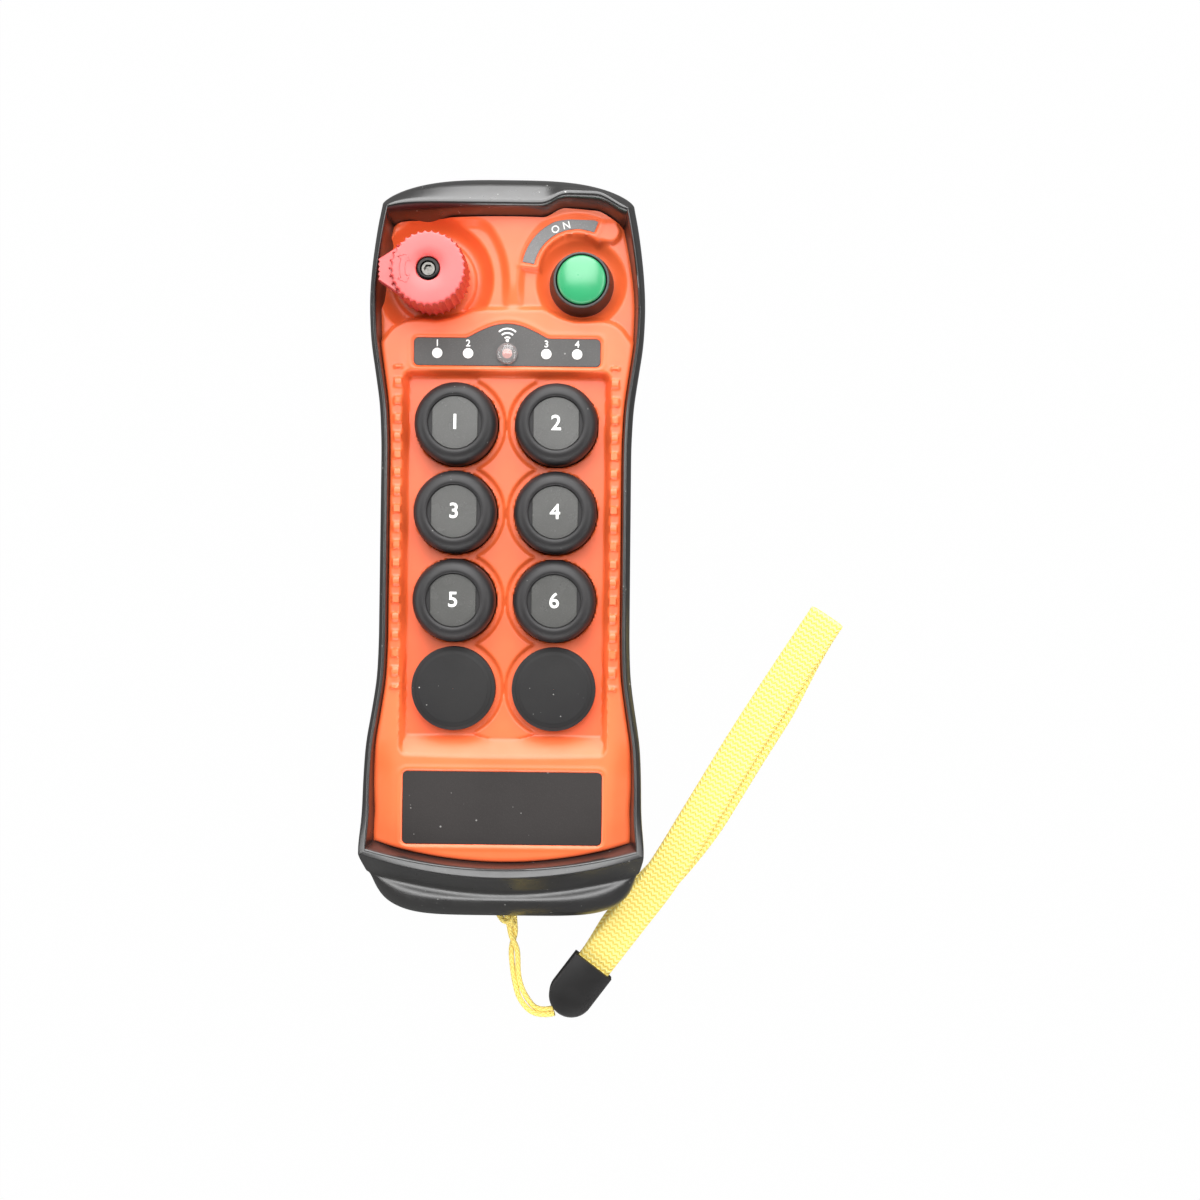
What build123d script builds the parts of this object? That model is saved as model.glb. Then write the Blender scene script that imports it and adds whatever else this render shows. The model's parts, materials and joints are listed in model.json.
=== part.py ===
"""Hand-held radio remote control for a winch.

The remote lies on its back: +Z is up out of the front face, +Y runs toward the emergency stop end and
+X is to the right. The origin is on the resting plane, under the middle of the body. Sizes are in mm.
"""
import os
from math import radians, tan

from build123d import *

# Bumper outline, at its widest line
waist_half = 31.95
waist_head_y = 30.0
waist_foot_y = -34.0
head_half = 35.1
head_wide_y = 60.0
foot_half = 35.2
foot_wide_y = -58.0
heel_half = 36.3
foot_end = -96.2
head_side_radius = 107.0

# Bumper section: height, side inset, heel inset, head and foot ends, head drop, foot crown and foot corner
bumper_wall = 2.45
bumper_lip = -0.25
heel_lip = 1.8
bumper_rows = [
    (4.0, 1.2, 2.6, 91.2, -92.4, 7.4, 3.0, 10.0),
    (5.4, 0.8, 2.1, 92.2, -94.0, 7.4, 3.0, 11.0),
    (14.0, 0.35, 1.7, 93.6, -95.8, 7.4, 3.0, 12.5),
    (22.0, 0.1, 1.5, 94.1, foot_end, 7.4, 3.0, 13.0),
    (26.6, 0.05, 1.5, 94.3, -94.9, 7.4, 3.0, 12.0),
    (28.6, 0.05, 1.5, 94.3, -92.6, 7.4, 3.4, 9.5),
    (30.6, 0.0, 1.2, 94.3, -88.5, 7.4, 5.2, 1.6),
    (37.4, 0.15, 0.25, 93.5, -84.7, 7.2, 5.0, 1.4),
    (41.0, 1.2, 0.3, 91.8, -82.6, 6.6, 4.9, 1.4),
    (43.0, 2.0, 2.6, 89.5, -79.4, 4.2, 4.7, 1.4),
    (46.5, 2.9, 4.6, 84.3, -76.0, 0.9, 4.6, 1.4),
]
head_corner = 1.4
rim_profile = [
    (100.0, 45.4), (84.0, 45.0), (70.0, 43.9), (60.0, 42.5), (48.0, 40.9), (30.0, 40.2),
    (-36.0, 40.2), (-62.0, 41.6), (-80.0, 42.6), (-100.0, 43.0),
]
bumper_gap = 0.1
bumper_top_z = 50.0

# Housing shells
core_head_end = 88.5
core_foot_end = -82.0
core_head_drop = 5.0
core_foot_crown = 6.3
core_corner = 3.5
back_chamfer = 2.0
parting_z = 20.0
deck_z = 38.4
shelf_z = 36.8
ceiling_z = 31.4
shell_wall = 2.4
back_wall = 2.6
opening_head_end = 84.0
opening_foot_end = -79.3
opening_head_drop = 0.7
opening_head_inset = 1.2
opening_foot_crown = 4.9
bay_gap = 0.15
gasket_width = 1.0
gasket_height = 1.6

# Keypad
column_x = 12.7
row_pitch = 22.3
top_row_y = 31.5
pocket_half = waist_half - 5.55
pocket_head_y = 44.5
pocket_foot_y = -47.6
ramp_foot_y = -53.0
pocket_floor_z = 34.4
pocket_corner = 2.5
web_half = 7.5
web_cut_radius = 12.3
web_z = 36.2
web_foot_y = -50.2
cup_wall = 1.2
cup_floor_z = 28.0
boot_radius = 10.4
boot_top_z = 43.2
boot_foot_z = 31.2
boot_gap = 0.4
button_travel = 2.5
insert_radius = 6.65
insert_flat_half = 5.75
insert_thick = 1.0
insert_sink = 1.0
plunger_radius = 2.0
blank_radius = 10.65
blank_rise = 4.0
blank_stem_radius = 8.6

# Side rail grip blocks
grip_pitch = 4.6
grip_count = 18
grip_length = 2.2
grip_strip = waist_half - bumper_wall - pocket_half
grip_width = 0.65 * grip_strip
grip_rise = 0.7
grip_x = pocket_half + 0.35 * grip_strip
grip_middle_y = 5.4

# Labels and lights
label_thick = 0.45
label_gap = 0.1
status_half = 23.6
status_low_y = 46.3
status_high_y = 53.3
hump_points = [(10.6, 0.0), (9.2, 0.6), (7.0, 1.75), (4.4, 2.9), (2.0, 3.55), (0.0, 3.7)]
plate_length = 50.4
plate_height = 18.4
plate_y = -65.6
plate_corner = 1.2
light_y = 49.4
lens_radius = 2.7
window_radius = 1.3
window_xs = (-17.7, -9.9, 9.9, 17.7)

# Emergency stop
stop_x = 16.2 - head_half
stop_y = 68.2
stop_basin_radius = 15.0
basin_floor_z = 33.4
stop_step_radius = 10.7
stop_step = 0.8
stop_travel = 3.0
knob_radius = 9.25
knob_top_z = 53.0
knob_foot_z = 37.6
knob_bore_radius = 8.0
knob_web_z = 46.5
knob_flutes = 34
pointer_reach = 12.4
pointer_half = 2.45
pointer_low_z = 44.5
pointer_high_z = 50.5
knob_sink_radius = 2.95
shaft_radius = 3.0
shaft_gap = 0.3
bush_radius = 6.0
bush_flange_radius = 7.6
nut_height = 2.5

# Start button
start_x = head_half - 16.5
start_y = 67.6
start_basin_radius = 11.0
collar_foot_radius = 8.3
collar_top_radius = 7.1
collar_top_z = 41.8
collar_barrel_radius = 7.2
cap_radius = 6.1
cap_gap = 0.3
cap_top_z = 44.6
start_travel = 2.0
ledge_x = start_x - 1.2
ledge_y = 70.15
ledge_inner = 9.6
ledge_outer = 15.7
ledge_z = 38.2
ledge_from = 57.0
ledge_to = 176.0
nose_spot = (ledge_x + 8.8, 80.6)
nose_radius = 2.4
start_label_inner = 11.0
start_label_outer = 14.05
start_label_from = 67.5
start_label_to = 169.5

# Ridge between the two basins
ridge_edge = [(1.1, 70.5), (2.6, 77.5), (6.4, 82.4)]
ridge_foot = (0.6, 60.9)
ridge_rise = 1.2

# Edge of the sunk head end
shelf_edge = [
    (-40.0, 51.5), (-31.5, 52.5), (-28.0, 57.7), (-14.7, 57.7), (-9.0, 60.4), (9.0, 60.4),
    (14.7, 57.7), (28.0, 57.7), (31.5, 52.5), (40.0, 51.5), (40.0, 100.0), (-40.0, 100.0),
]

# Board and batteries
board_half = 21.5
board_head_y = 80.0
board_foot_y = -52.0
board_z = 18.2
board_thick = 1.6
cell_radius = 7.15
cell_length = 50.0
cell_x = 7.6
cell_z = 10.0
cell_y = -41.5
bay_half = 15.9
bay_head_y = -12.5
bay_foot_y = -71.5
bay_top_z = 17.4
bay_wall = 0.7
cover_half = 19.0
cover_head_y = -5.0
cover_foot_y = -79.0
cover_thick = 2.0
cover_gap = 0.3
seal_thick = 0.8

# Fasteners
boss_radius = 3.4
screw_radius = 1.45
screw_head_radius = 2.7
screw_head_height = 2.4
screw_spots = [(head_half - 9.5, 79.2), (waist_half - 6.55, -1.9), (foot_half - 8.4, -73.6)]
post_radius = 2.6
post_spots = [(22.3, 45.6), (-22.3, 45.6), (0.0, 20.3), (0.0, -1.9)]

# Lanyard
pin_radius = 1.25
pin_y = -91.0
pin_z = 7.5
lug_from = 4.5
lug_to = 7.0
lug_radius = 2.8
cord_radius = 1.3
cord_points = [
    (0.8, -94.35, 7.0), (1.1, -98.5, 5.6), (1.6, -103.5, 3.0), (2.0, -109.6, 1.7),
    (2.4, -115.8, 1.6), (4.2, -121.6, 1.6), (8.4, -125.9, 1.7), (12.95, -124.65, 2.4),
]
cap_end = (14.0, -124.8)
cap_mouth = (23.6, -112.0)
cap_half = 6.1
cap_thick = 5.2
strap_width = 10.0
strap_thick = 2.8
strap_low_z = 0.8
strap_points = [(20.6, -116.0), (32.0, -100.9), (42.3, -87.6), (54.0, -68.2), (68.0, -44.6), (85.7, -17.6)]

board_top_z = board_z + board_thick
rows = [top_row_y - row_pitch * step for step in range(4)]
button_spots = [(x, y) for y in rows[:3] for x in (-column_x, column_x)]
blank_spots = [(-column_x, rows[3]), (column_x, rows[3])]
all_screws = [(side * x, y) for x, y in screw_spots for side in (-1, 1)]


def outline(side, heel, head_y, foot_y, head_drop, crown, head_fillet, foot_fillet, head_inset=0.0):
    """Draw the waisted outline, with its sides and corners drawn in and its ends at the given places."""
    waist = waist_half - side
    head = head_half - side
    foot = foot_half - (side + heel) / 2
    heel_x = heel_half - heel
    corner_y = head_y - head_drop
    corner_x = head - (corner_y - head_wide_y) ** 2 / (2 * head_side_radius) - head_inset
    foot_corner_y = foot_y + crown
    bend = (0.936 * corner_x, head_y - 0.76 * head_drop)
    brow = (0.692 * corner_x, head_y - 0.17 * head_drop)
    with BuildSketch() as flat:
        with BuildLine():
            Line((waist, waist_foot_y), (waist, waist_head_y))
            flare = TangentArc(
                (waist, waist_head_y), ((waist + head) / 2, (waist_head_y + head_wide_y) / 2), tangent=(0, 1)
            )
            TangentArc(flare @ 1, (head, head_wide_y), tangent=flare % 1)
            TangentArc((head, head_wide_y), (corner_x, corner_y), tangent=(0, 1))
            flare = TangentArc(
                (waist, waist_foot_y), ((waist + foot) / 2, (waist_foot_y + foot_wide_y) / 2), tangent=(0, -1)
            )
            TangentArc(flare @ 1, (foot, foot_wide_y), tangent=flare % 1)
            Line((foot, foot_wide_y), (heel_x, foot_corner_y))
            Line((corner_x, corner_y), bend)
            ThreePointArc(bend, (0.818 * corner_x, head_y - 0.4 * head_drop), brow)
            mirror(about=Plane.YZ)
            ThreePointArc(brow, (0, head_y), (-brow[0], brow[1]))
            ThreePointArc((heel_x, foot_corner_y), (0, foot_y), (-heel_x, foot_corner_y))
        make_face()
        fillet([spot for spot in flat.vertices() if abs(spot.Y - foot_corner_y) < 0.001], radius=foot_fillet)
        fillet([spot for spot in flat.vertices() if abs(spot.Y - corner_y) < 0.001], radius=head_fillet)
    return flat.sketch


def core_outline(inset=0.0):
    """Outline of the two housing shells, or of a line inside it."""
    side = bumper_wall + inset
    corner = max(core_corner - inset, 0.5)
    head_y = core_head_end - inset
    foot_y = core_foot_end + inset
    return outline(side, side, head_y, foot_y, core_head_drop, core_foot_crown, corner, corner)


def opening_outline():
    """Outline of the face that the bumper leaves open, with the bay over the start label."""
    side = bumper_wall + bumper_lip
    heel = bumper_wall + heel_lip
    with BuildSketch() as flat:
        with Locations((ledge_x, ledge_y)):
            Circle(ledge_outer + bay_gap)
        add(core_outline(1.2), mode=Mode.INTERSECT)
        add(outline(
            side, heel, opening_head_end, opening_foot_end, opening_head_drop, opening_foot_crown,
            head_corner, head_corner, opening_head_inset,
        ))
    return flat.sketch


def shelf_outline():
    """The sunk head end of the face, past the raised deck of the keypad."""
    with BuildSketch() as flat:
        with BuildLine():
            FilletPolyline(*shelf_edge, radius=(0, 1, 4, 6, 6, 6, 6, 4, 1, 0, 0, 0), close=True)
        make_face()
        add(core_outline(shell_wall / 2), mode=Mode.INTERSECT)
    return flat.sketch


def status_outline(gap):
    """Outline of the status label, or of its recess."""
    bar_y = (status_low_y + status_high_y) / 2
    hump = [(x, status_high_y + rise) for x, rise in hump_points]
    with BuildSketch() as flat:
        with Locations((0, bar_y)):
            RectangleRounded(2 * (status_half + gap), status_high_y - status_low_y + 2 * gap, 1.2)
        with BuildLine():
            Spline(*[(x, y + gap) for x, y in hump], *[(-x, y + gap) for x, y in hump[-2::-1]])
            Polyline(
                (-hump[0][0], status_high_y + gap), (-hump[0][0], bar_y), (hump[0][0], bar_y),
                (hump[0][0], status_high_y + gap),
            )
        make_face()
    return flat.sketch


def ring_sector(inner, outer, start_angle, end_angle, round_ends):
    """A band of a ring over the start button, between two angles."""
    span = end_angle - start_angle
    with BuildSketch() as flat:
        with BuildLine():
            outer_arc = CenterArc((ledge_x, ledge_y), outer, start_angle, span)
            inner_arc = CenterArc((ledge_x, ledge_y), inner, start_angle, span)
            Line(outer_arc @ 0, inner_arc @ 0)
            Line(outer_arc @ 1, inner_arc @ 1)
        make_face()
        fillet(flat.vertices(), radius=round_ends)
    return flat.sketch


def save(piece, name):
    """Label a finished piece and write it to its file."""
    piece.label = name
    export_step(piece, f"parts/{name}.step")


def spring(radius, wire, height, turns, start, way=(0, 0, 1)):
    """A coil spring whose wire starts at the given place and climbs the given way."""
    with BuildPart() as coil:
        with BuildLine():
            path = Helix(pitch=height / turns, height=height, radius=radius, center=start, direction=way)
        with BuildSketch(Plane(origin=path @ 0, z_dir=path % 0)):
            RegularPolygon(wire, 6)
        sweep(is_frenet=True)
    return coil.part


os.makedirs("parts", exist_ok=True)

# Rubber bumper: wraps the seam and both ends, and stands proud of the face as a rim
with BuildPart() as rubber_bumper:
    for z, side, heel, head_y, foot_y, drop, crown, foot_corner in bumper_rows:
        with BuildSketch(Plane.XY.offset(z)):
            add(outline(side, heel, head_y, foot_y, drop, crown, head_corner, foot_corner))
    loft(ruled=True)
    with BuildSketch(Plane.YZ.offset(-2 * head_half)):
        with BuildLine():
            rim = Spline(*rim_profile)
            Polyline(rim @ 1, (rim_profile[-1][0], bumper_top_z), (rim_profile[0][0], bumper_top_z), rim @ 0)
        make_face()
    extrude(amount=4 * head_half, mode=Mode.SUBTRACT)
    with BuildSketch(Plane.XY.offset(deck_z)):
        add(opening_outline())
    extrude(amount=bumper_top_z, mode=Mode.SUBTRACT)
    with BuildSketch():
        add(core_outline(-bumper_gap))
    extrude(amount=deck_z + bumper_gap, mode=Mode.SUBTRACT)
    with BuildSketch():
        with Locations((0, foot_end)):
            Rectangle(2 * (lug_to + 0.4), 2 * (core_foot_end + 1 - foot_end))
    extrude(amount=pin_z + 4.4, mode=Mode.SUBTRACT)
save(rubber_bumper.part, "rubber_bumper")

# Front housing: the orange face, with the keypad pocket, two basins and the button cups under it
with BuildPart() as front_housing:
    with BuildSketch(Plane.XY.offset(parting_z)):
        add(core_outline())
    extrude(amount=deck_z - parting_z)
    with BuildSketch(Plane.XY.offset(parting_z)):
        add(core_outline(shell_wall))
    extrude(amount=ceiling_z - parting_z, mode=Mode.SUBTRACT)
    with BuildSketch(Plane.XY.offset(shelf_z)):
        add(shelf_outline())
    extrude(amount=deck_z, mode=Mode.SUBTRACT)
    with BuildSketch(Plane.XY.offset(pocket_floor_z)):
        with BuildLine():
            FilletPolyline(
                (-pocket_half, pocket_foot_y), (pocket_half, pocket_foot_y), (pocket_half, pocket_head_y),
                (-pocket_half, pocket_head_y), radius=(0, 0, pocket_corner, pocket_corner), close=True,
            )
        make_face()
    extrude(amount=deck_z, mode=Mode.SUBTRACT)
    with BuildSketch(Plane.YZ.offset(-pocket_half + 0.6)):
        with BuildLine():
            Polyline(
                (pocket_foot_y + 0.1, pocket_floor_z), (pocket_foot_y + 0.1, deck_z + 2),
                (ramp_foot_y - 1.5, deck_z + 2), (ramp_foot_y, deck_z), (pocket_foot_y, pocket_floor_z),
                close=True,
            )
        make_face()
    extrude(amount=2 * pocket_half - 1.2, mode=Mode.SUBTRACT)
    with BuildSketch(Plane.XY.offset(pocket_floor_z - 0.1)):
        with Locations((0, (pocket_head_y + web_foot_y) / 2)):
            Rectangle(2 * web_half, pocket_head_y - web_foot_y)
        with Locations(*button_spots, *blank_spots):
            Circle(web_cut_radius, mode=Mode.SUBTRACT)
    extrude(amount=web_z - pocket_floor_z + 0.1)
    with BuildSketch(Plane.XY.offset(cup_floor_z - cup_wall)):
        with Locations(*button_spots):
            Circle(boot_radius + boot_gap + cup_wall)
    extrude(amount=ceiling_z - cup_floor_z + cup_wall)
    with BuildSketch(Plane.XY.offset(cup_floor_z)):
        with Locations(*button_spots):
            Circle(boot_radius + boot_gap)
    extrude(amount=deck_z, mode=Mode.SUBTRACT)
    with BuildSketch(Plane.XY.offset(parting_z)):
        with Locations(*button_spots):
            Circle(plunger_radius + boot_gap)
        with Locations(*blank_spots):
            Circle(blank_stem_radius + bumper_gap)
    extrude(amount=deck_z, mode=Mode.SUBTRACT)
    for x, y, basin in ((stop_x, stop_y, stop_basin_radius), (start_x, start_y, start_basin_radius)):
        with BuildPart(mode=Mode.SUBTRACT):
            with BuildSketch(Plane.XZ.offset(-y)):
                with BuildLine():
                    edge_x = x + basin
                    Line((x, basin_floor_z), (edge_x - 2.6, basin_floor_z))
                    ThreePointArc(
                        (edge_x - 2.6, basin_floor_z), (edge_x - 0.9, basin_floor_z + 0.9), (edge_x, shelf_z)
                    )
                    Polyline((edge_x, shelf_z), (edge_x, deck_z + 1), (x, deck_z + 1), (x, basin_floor_z))
                make_face()
            revolve(axis=Axis((x, y, 0), (0, 0, 1)), revolution_arc=360)
            with BuildSketch(Plane.XY.offset(basin_floor_z)):
                add(shelf_outline())
            extrude(amount=deck_z, mode=Mode.INTERSECT)
    with BuildSketch(Plane.XY.offset(basin_floor_z - 0.2)):
        with Locations((stop_x, stop_y)):
            Circle(stop_step_radius)
    extrude(amount=stop_step + 0.2)
    with BuildSketch(Plane.XY.offset(ceiling_z)):
        add(core_outline())
        add(opening_outline(), mode=Mode.SUBTRACT)
    extrude(amount=deck_z - ceiling_z)
    with BuildSketch(Plane.XY.offset(basin_floor_z - 0.2)):
        add(ring_sector(ledge_inner, ledge_outer, ledge_from, ledge_to, 2.0))
        with Locations(nose_spot):
            Circle(nose_radius)
    extrude(amount=ledge_z - basin_floor_z + 0.2)
    with BuildSketch(Plane.XY.offset(shelf_z - 0.2)):
        with BuildLine():
            left = ThreePointArc(*[(-x, y) for x, y in ridge_edge[::-1]])
            right = ThreePointArc(*ridge_edge)
            Polyline(left @ 1, (-ridge_foot[0], ridge_foot[1]), ridge_foot, right @ 0)
            Line(right @ 1, left @ 0)
        make_face()
    extrude(amount=ridge_rise + 0.2)
    with BuildSketch(Plane.XY.offset(ledge_z - label_thick)):
        add(ring_sector(
            start_label_inner - label_gap, start_label_outer + label_gap, start_label_from - 0.4,
            start_label_to + 0.4, 0.5,
        ))
    extrude(amount=label_thick, mode=Mode.SUBTRACT)
    with BuildSketch(Plane.XY.offset(deck_z - label_thick)):
        add(status_outline(label_gap))
        with Locations((0, plate_y)):
            RectangleRounded(plate_length + 2 * label_gap, plate_height + 2 * label_gap, plate_corner)
    extrude(amount=label_thick, mode=Mode.SUBTRACT)
    with BuildSketch(Plane.XY.offset(parting_z)):
        with Locations((0, light_y)):
            Circle(lens_radius + label_gap)
        with Locations(*[(x, light_y) for x in window_xs]):
            Circle(window_radius + label_gap)
        with Locations((stop_x, stop_y)):
            Circle(bush_radius + label_gap)
        with Locations((start_x, start_y)):
            Circle(collar_barrel_radius + label_gap)
    extrude(amount=deck_z, mode=Mode.SUBTRACT)
    for side in (-1, 1):
        with BuildSketch(Plane.XY.offset(deck_z)):
            with Locations((side * grip_x, grip_middle_y)):
                with GridLocations(1, grip_pitch, 1, grip_count):
                    Rectangle(grip_width, grip_length)
        extrude(amount=grip_rise)
    with BuildSketch(Plane.XY.offset(parting_z)):
        with Locations(*all_screws):
            Circle(boss_radius)
    extrude(amount=ceiling_z - parting_z)
    with BuildSketch(Plane.XY.offset(board_top_z)):
        with Locations(*post_spots):
            Circle(post_radius)
    extrude(amount=ceiling_z - board_top_z)
    with BuildSketch(Plane.XY.offset(board_top_z)):
        with Locations(*post_spots, *all_screws):
            Circle(screw_radius + bumper_gap)
    extrude(amount=8, mode=Mode.SUBTRACT)
    with BuildSketch(Plane.XY.offset(parting_z)):
        add(core_outline(shell_wall / 2 - gasket_width / 2 - 0.05))
        add(core_outline(shell_wall / 2 + gasket_width / 2 + 0.05), mode=Mode.SUBTRACT)
    extrude(amount=gasket_height / 2, mode=Mode.SUBTRACT)
save(front_housing.part, "front_housing")

# Rear housing: the back shell, with the battery bay, screw bosses and the lanyard lugs
with BuildPart() as rear_housing:
    with BuildSketch():
        add(core_outline(back_chamfer))
    with BuildSketch(Plane.XY.offset(back_chamfer)):
        add(core_outline())
    loft(ruled=True)
    with BuildSketch(Plane.XY.offset(back_chamfer)):
        add(core_outline())
    extrude(amount=parting_z - back_chamfer)
    with BuildSketch(Plane.XY.offset(back_wall)):
        add(core_outline(shell_wall))
    extrude(amount=parting_z, mode=Mode.SUBTRACT)
    with BuildSketch(Plane.XY.offset(back_wall)):
        with Locations((0, (cover_head_y + cover_foot_y) / 2)):
            Rectangle(2 * cover_half + 4, cover_head_y - cover_foot_y + 4)
        add(core_outline(shell_wall / 2), mode=Mode.INTERSECT)
    extrude(amount=2.6)
    with BuildSketch(Plane.XY.offset(back_wall)):
        with Locations((0, (bay_head_y + bay_foot_y) / 2)):
            Rectangle(2 * (bay_half + bay_wall), bay_head_y - bay_foot_y + 2 * bay_wall)
    extrude(amount=bay_top_z + bay_wall - back_wall)
    with BuildSketch():
        with Locations((0, (bay_head_y + bay_foot_y) / 2)):
            Rectangle(2 * bay_half, bay_head_y - bay_foot_y)
    extrude(amount=bay_top_z, mode=Mode.SUBTRACT)
    with BuildSketch():
        with Locations((0, (cover_head_y + cover_foot_y) / 2)):
            RectangleRounded(2 * (cover_half + cover_gap), cover_head_y - cover_foot_y + 2 * cover_gap, 4.0)
    extrude(amount=cover_thick + seal_thick, mode=Mode.SUBTRACT)
    with BuildSketch(Plane.XY.offset(back_wall / 2)):
        with Locations(*all_screws):
            Circle(boss_radius)
    extrude(amount=parting_z - back_wall / 2)
    with BuildSketch():
        with Locations(*all_screws):
            Circle(screw_head_radius + bumper_gap)
    extrude(amount=screw_head_height + 0.4, mode=Mode.SUBTRACT)
    with BuildSketch():
        with Locations(*all_screws):
            Circle(screw_radius + bumper_gap)
    extrude(amount=parting_z, mode=Mode.SUBTRACT)
    with BuildSketch():
        with Locations((0, cover_head_y - 3.6), (0, cover_foot_y + 3.6)):
            Circle(screw_radius + bumper_gap)
    extrude(amount=9, mode=Mode.SUBTRACT)
    with BuildSketch(Plane.XY.offset(parting_z - gasket_height / 2)):
        add(core_outline(shell_wall / 2 - gasket_width / 2 - 0.05))
        add(core_outline(shell_wall / 2 + gasket_width / 2 + 0.05), mode=Mode.SUBTRACT)
    extrude(amount=gasket_height, mode=Mode.SUBTRACT)
    for side in (-1, 1):
        with BuildSketch(Plane.YZ.offset(side * (lug_from + lug_to) / 2)):
            with BuildLine():
                root_y = core_foot_end + 1.5
                low_z = pin_z - lug_radius
                high_z = pin_z + lug_radius
                Line((root_y, low_z), (pin_y, low_z))
                ThreePointArc((pin_y, low_z), (pin_y - lug_radius, pin_z), (pin_y, high_z))
                Polyline((pin_y, high_z), (root_y, high_z), (root_y, low_z))
            make_face()
        extrude(amount=(lug_to - lug_from) / 2, both=True)
    with BuildSketch(Plane.YZ):
        with Locations((pin_y, pin_z)):
            Circle(pin_radius + 0.05)
    extrude(amount=lug_to + 1, both=True, mode=Mode.SUBTRACT)
save(rear_housing.part, "rear_housing")

# Seal in the groove between the two shells
with BuildPart() as housing_gasket:
    with BuildSketch(Plane.XY.offset(parting_z - gasket_height / 2)):
        add(core_outline(shell_wall / 2 - gasket_width / 2))
        add(core_outline(shell_wall / 2 + gasket_width / 2), mode=Mode.SUBTRACT)
    extrude(amount=gasket_height)
save(housing_gasket.part, "housing_gasket")


def screws(spots, head_z, length, head_radius, head_height, up=True):
    """Socket or slotted screws at the given spots, as separate solids in one piece."""
    way = 1 if up else -1
    with BuildPart() as group:
        with BuildSketch(Plane.XY.offset(head_z)):
            with Locations(*spots):
                Circle(head_radius)
        extrude(amount=way * head_height)
        with BuildSketch(Plane.XY.offset(head_z + way * head_height)):
            with Locations(*spots):
                Circle(screw_radius)
        extrude(amount=way * length)
        with BuildSketch(Plane.XY.offset(head_z)):
            with Locations(*spots):
                RegularPolygon(head_radius * 0.5, 6)
        extrude(amount=way * head_height * 0.6, mode=Mode.SUBTRACT)
    return group.part


save(screws(all_screws, 0.4, 22.0, screw_head_radius, screw_head_height), "housing_screws")
save(screws(post_spots, board_z - 1.6, 6.5, 2.4, 1.6), "board_screws")

# Battery cover, its seal and its two screws
cover_spots = [(0, cover_head_y - 3.6), (0, cover_foot_y + 3.6)]
with BuildPart() as battery_cover:
    with BuildSketch():
        with Locations((0, (cover_head_y + cover_foot_y) / 2)):
            RectangleRounded(2 * cover_half, cover_head_y - cover_foot_y, 3.7)
    extrude(amount=cover_thick)
    with BuildSketch():
        with Locations(*cover_spots):
            Circle(screw_radius + bumper_gap)
    extrude(amount=cover_thick, mode=Mode.SUBTRACT)
    with BuildSketch():
        with Locations(*cover_spots):
            Circle(screw_head_radius + bumper_gap)
    extrude(amount=1.3, mode=Mode.SUBTRACT)
save(battery_cover.part, "battery_cover")
save(screws(cover_spots, 0.2, 5.5, screw_head_radius, 1.0), "battery_cover_screws")
with BuildPart() as battery_cover_seal:
    with BuildSketch(Plane.XY.offset(cover_thick)):
        with Locations((0, (cover_head_y + cover_foot_y) / 2)):
            RectangleRounded(2 * cover_half - 0.6, bay_head_y - bay_foot_y + 4.0, 2.0)
            Rectangle(2 * bay_half, bay_head_y - bay_foot_y, mode=Mode.SUBTRACT)
    extrude(amount=seal_thick)
save(battery_cover_seal.part, "battery_cover_seal")

# Two AA cells with their springs and contact plates
with BuildPart() as battery_cells:
    with BuildSketch(Plane.XZ.offset(-(cell_y - cell_length / 2))):
        with Locations((-cell_x, cell_z), (cell_x, cell_z)):
            Circle(cell_radius)
    extrude(amount=-cell_length + 1.0)
    with BuildSketch(Plane.XZ.offset(-(cell_y - cell_length / 2))):
        with Locations((-cell_x, cell_z), (cell_x, cell_z)):
            Circle(2.7)
    extrude(amount=-cell_length)
save(battery_cells.part, "battery_cells")
with BuildPart() as battery_contacts:
    for side in (-1, 1):
        with Locations((side * cell_x, bay_head_y - 0.4, cell_z)):
            Box(9.0, 0.6, 9.0)
        with Locations((side * cell_x, bay_foot_y + 0.4, cell_z)):
            Box(9.0, 0.6, 9.0)
save(battery_contacts.part, "battery_contacts")
battery_springs = Compound(children=[
    spring(3.0, 0.35, 3.2, 2, (x, bay_foot_y + 1.2, cell_z), (0, 1, 0)) for x in (-cell_x, cell_x)
])
save(battery_springs, "battery_springs")

# Main board, screwed up against the posts of the front housing
with BuildPart() as main_circuit_board:
    with BuildSketch(Plane.XY.offset(board_z)):
        with Locations((0, (board_head_y + board_foot_y) / 2)):
            RectangleRounded(2 * board_half, board_head_y - board_foot_y, 3.0)
        with Locations(*all_screws):
            Circle(boss_radius + 0.6, mode=Mode.SUBTRACT)
        with Locations(*post_spots):
            Circle(screw_radius + bumper_gap, mode=Mode.SUBTRACT)
    extrude(amount=board_thick)
save(main_circuit_board.part, "main_circuit_board")

with BuildPart() as radio_module:
    with Locations((0, 66.0, board_top_z + 1.6)):
        Box(12, 18, 3.2)
save(radio_module.part, "radio_module")
save(spring(1.8, 0.35, 14.0, 5, (-7.0, 77.6, board_top_z + 2.3), (1, 0, 0)), "antenna_coil")

# Keypad switches under the six plungers
switch_top_z = cup_floor_z - cup_wall - button_travel - 0.2
with BuildPart() as keypad_switches:
    with BuildSketch(Plane.XY.offset(board_top_z)):
        with Locations(*button_spots):
            RectangleRounded(6.2, 6.2, 0.8)
    extrude(amount=2.4)
    with BuildSketch(Plane.XY.offset(board_top_z + 2.4)):
        with Locations(*button_spots):
            Circle(1.7)
    extrude(amount=switch_top_z - board_top_z - 2.4)
save(keypad_switches.part, "keypad_switches")

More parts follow.
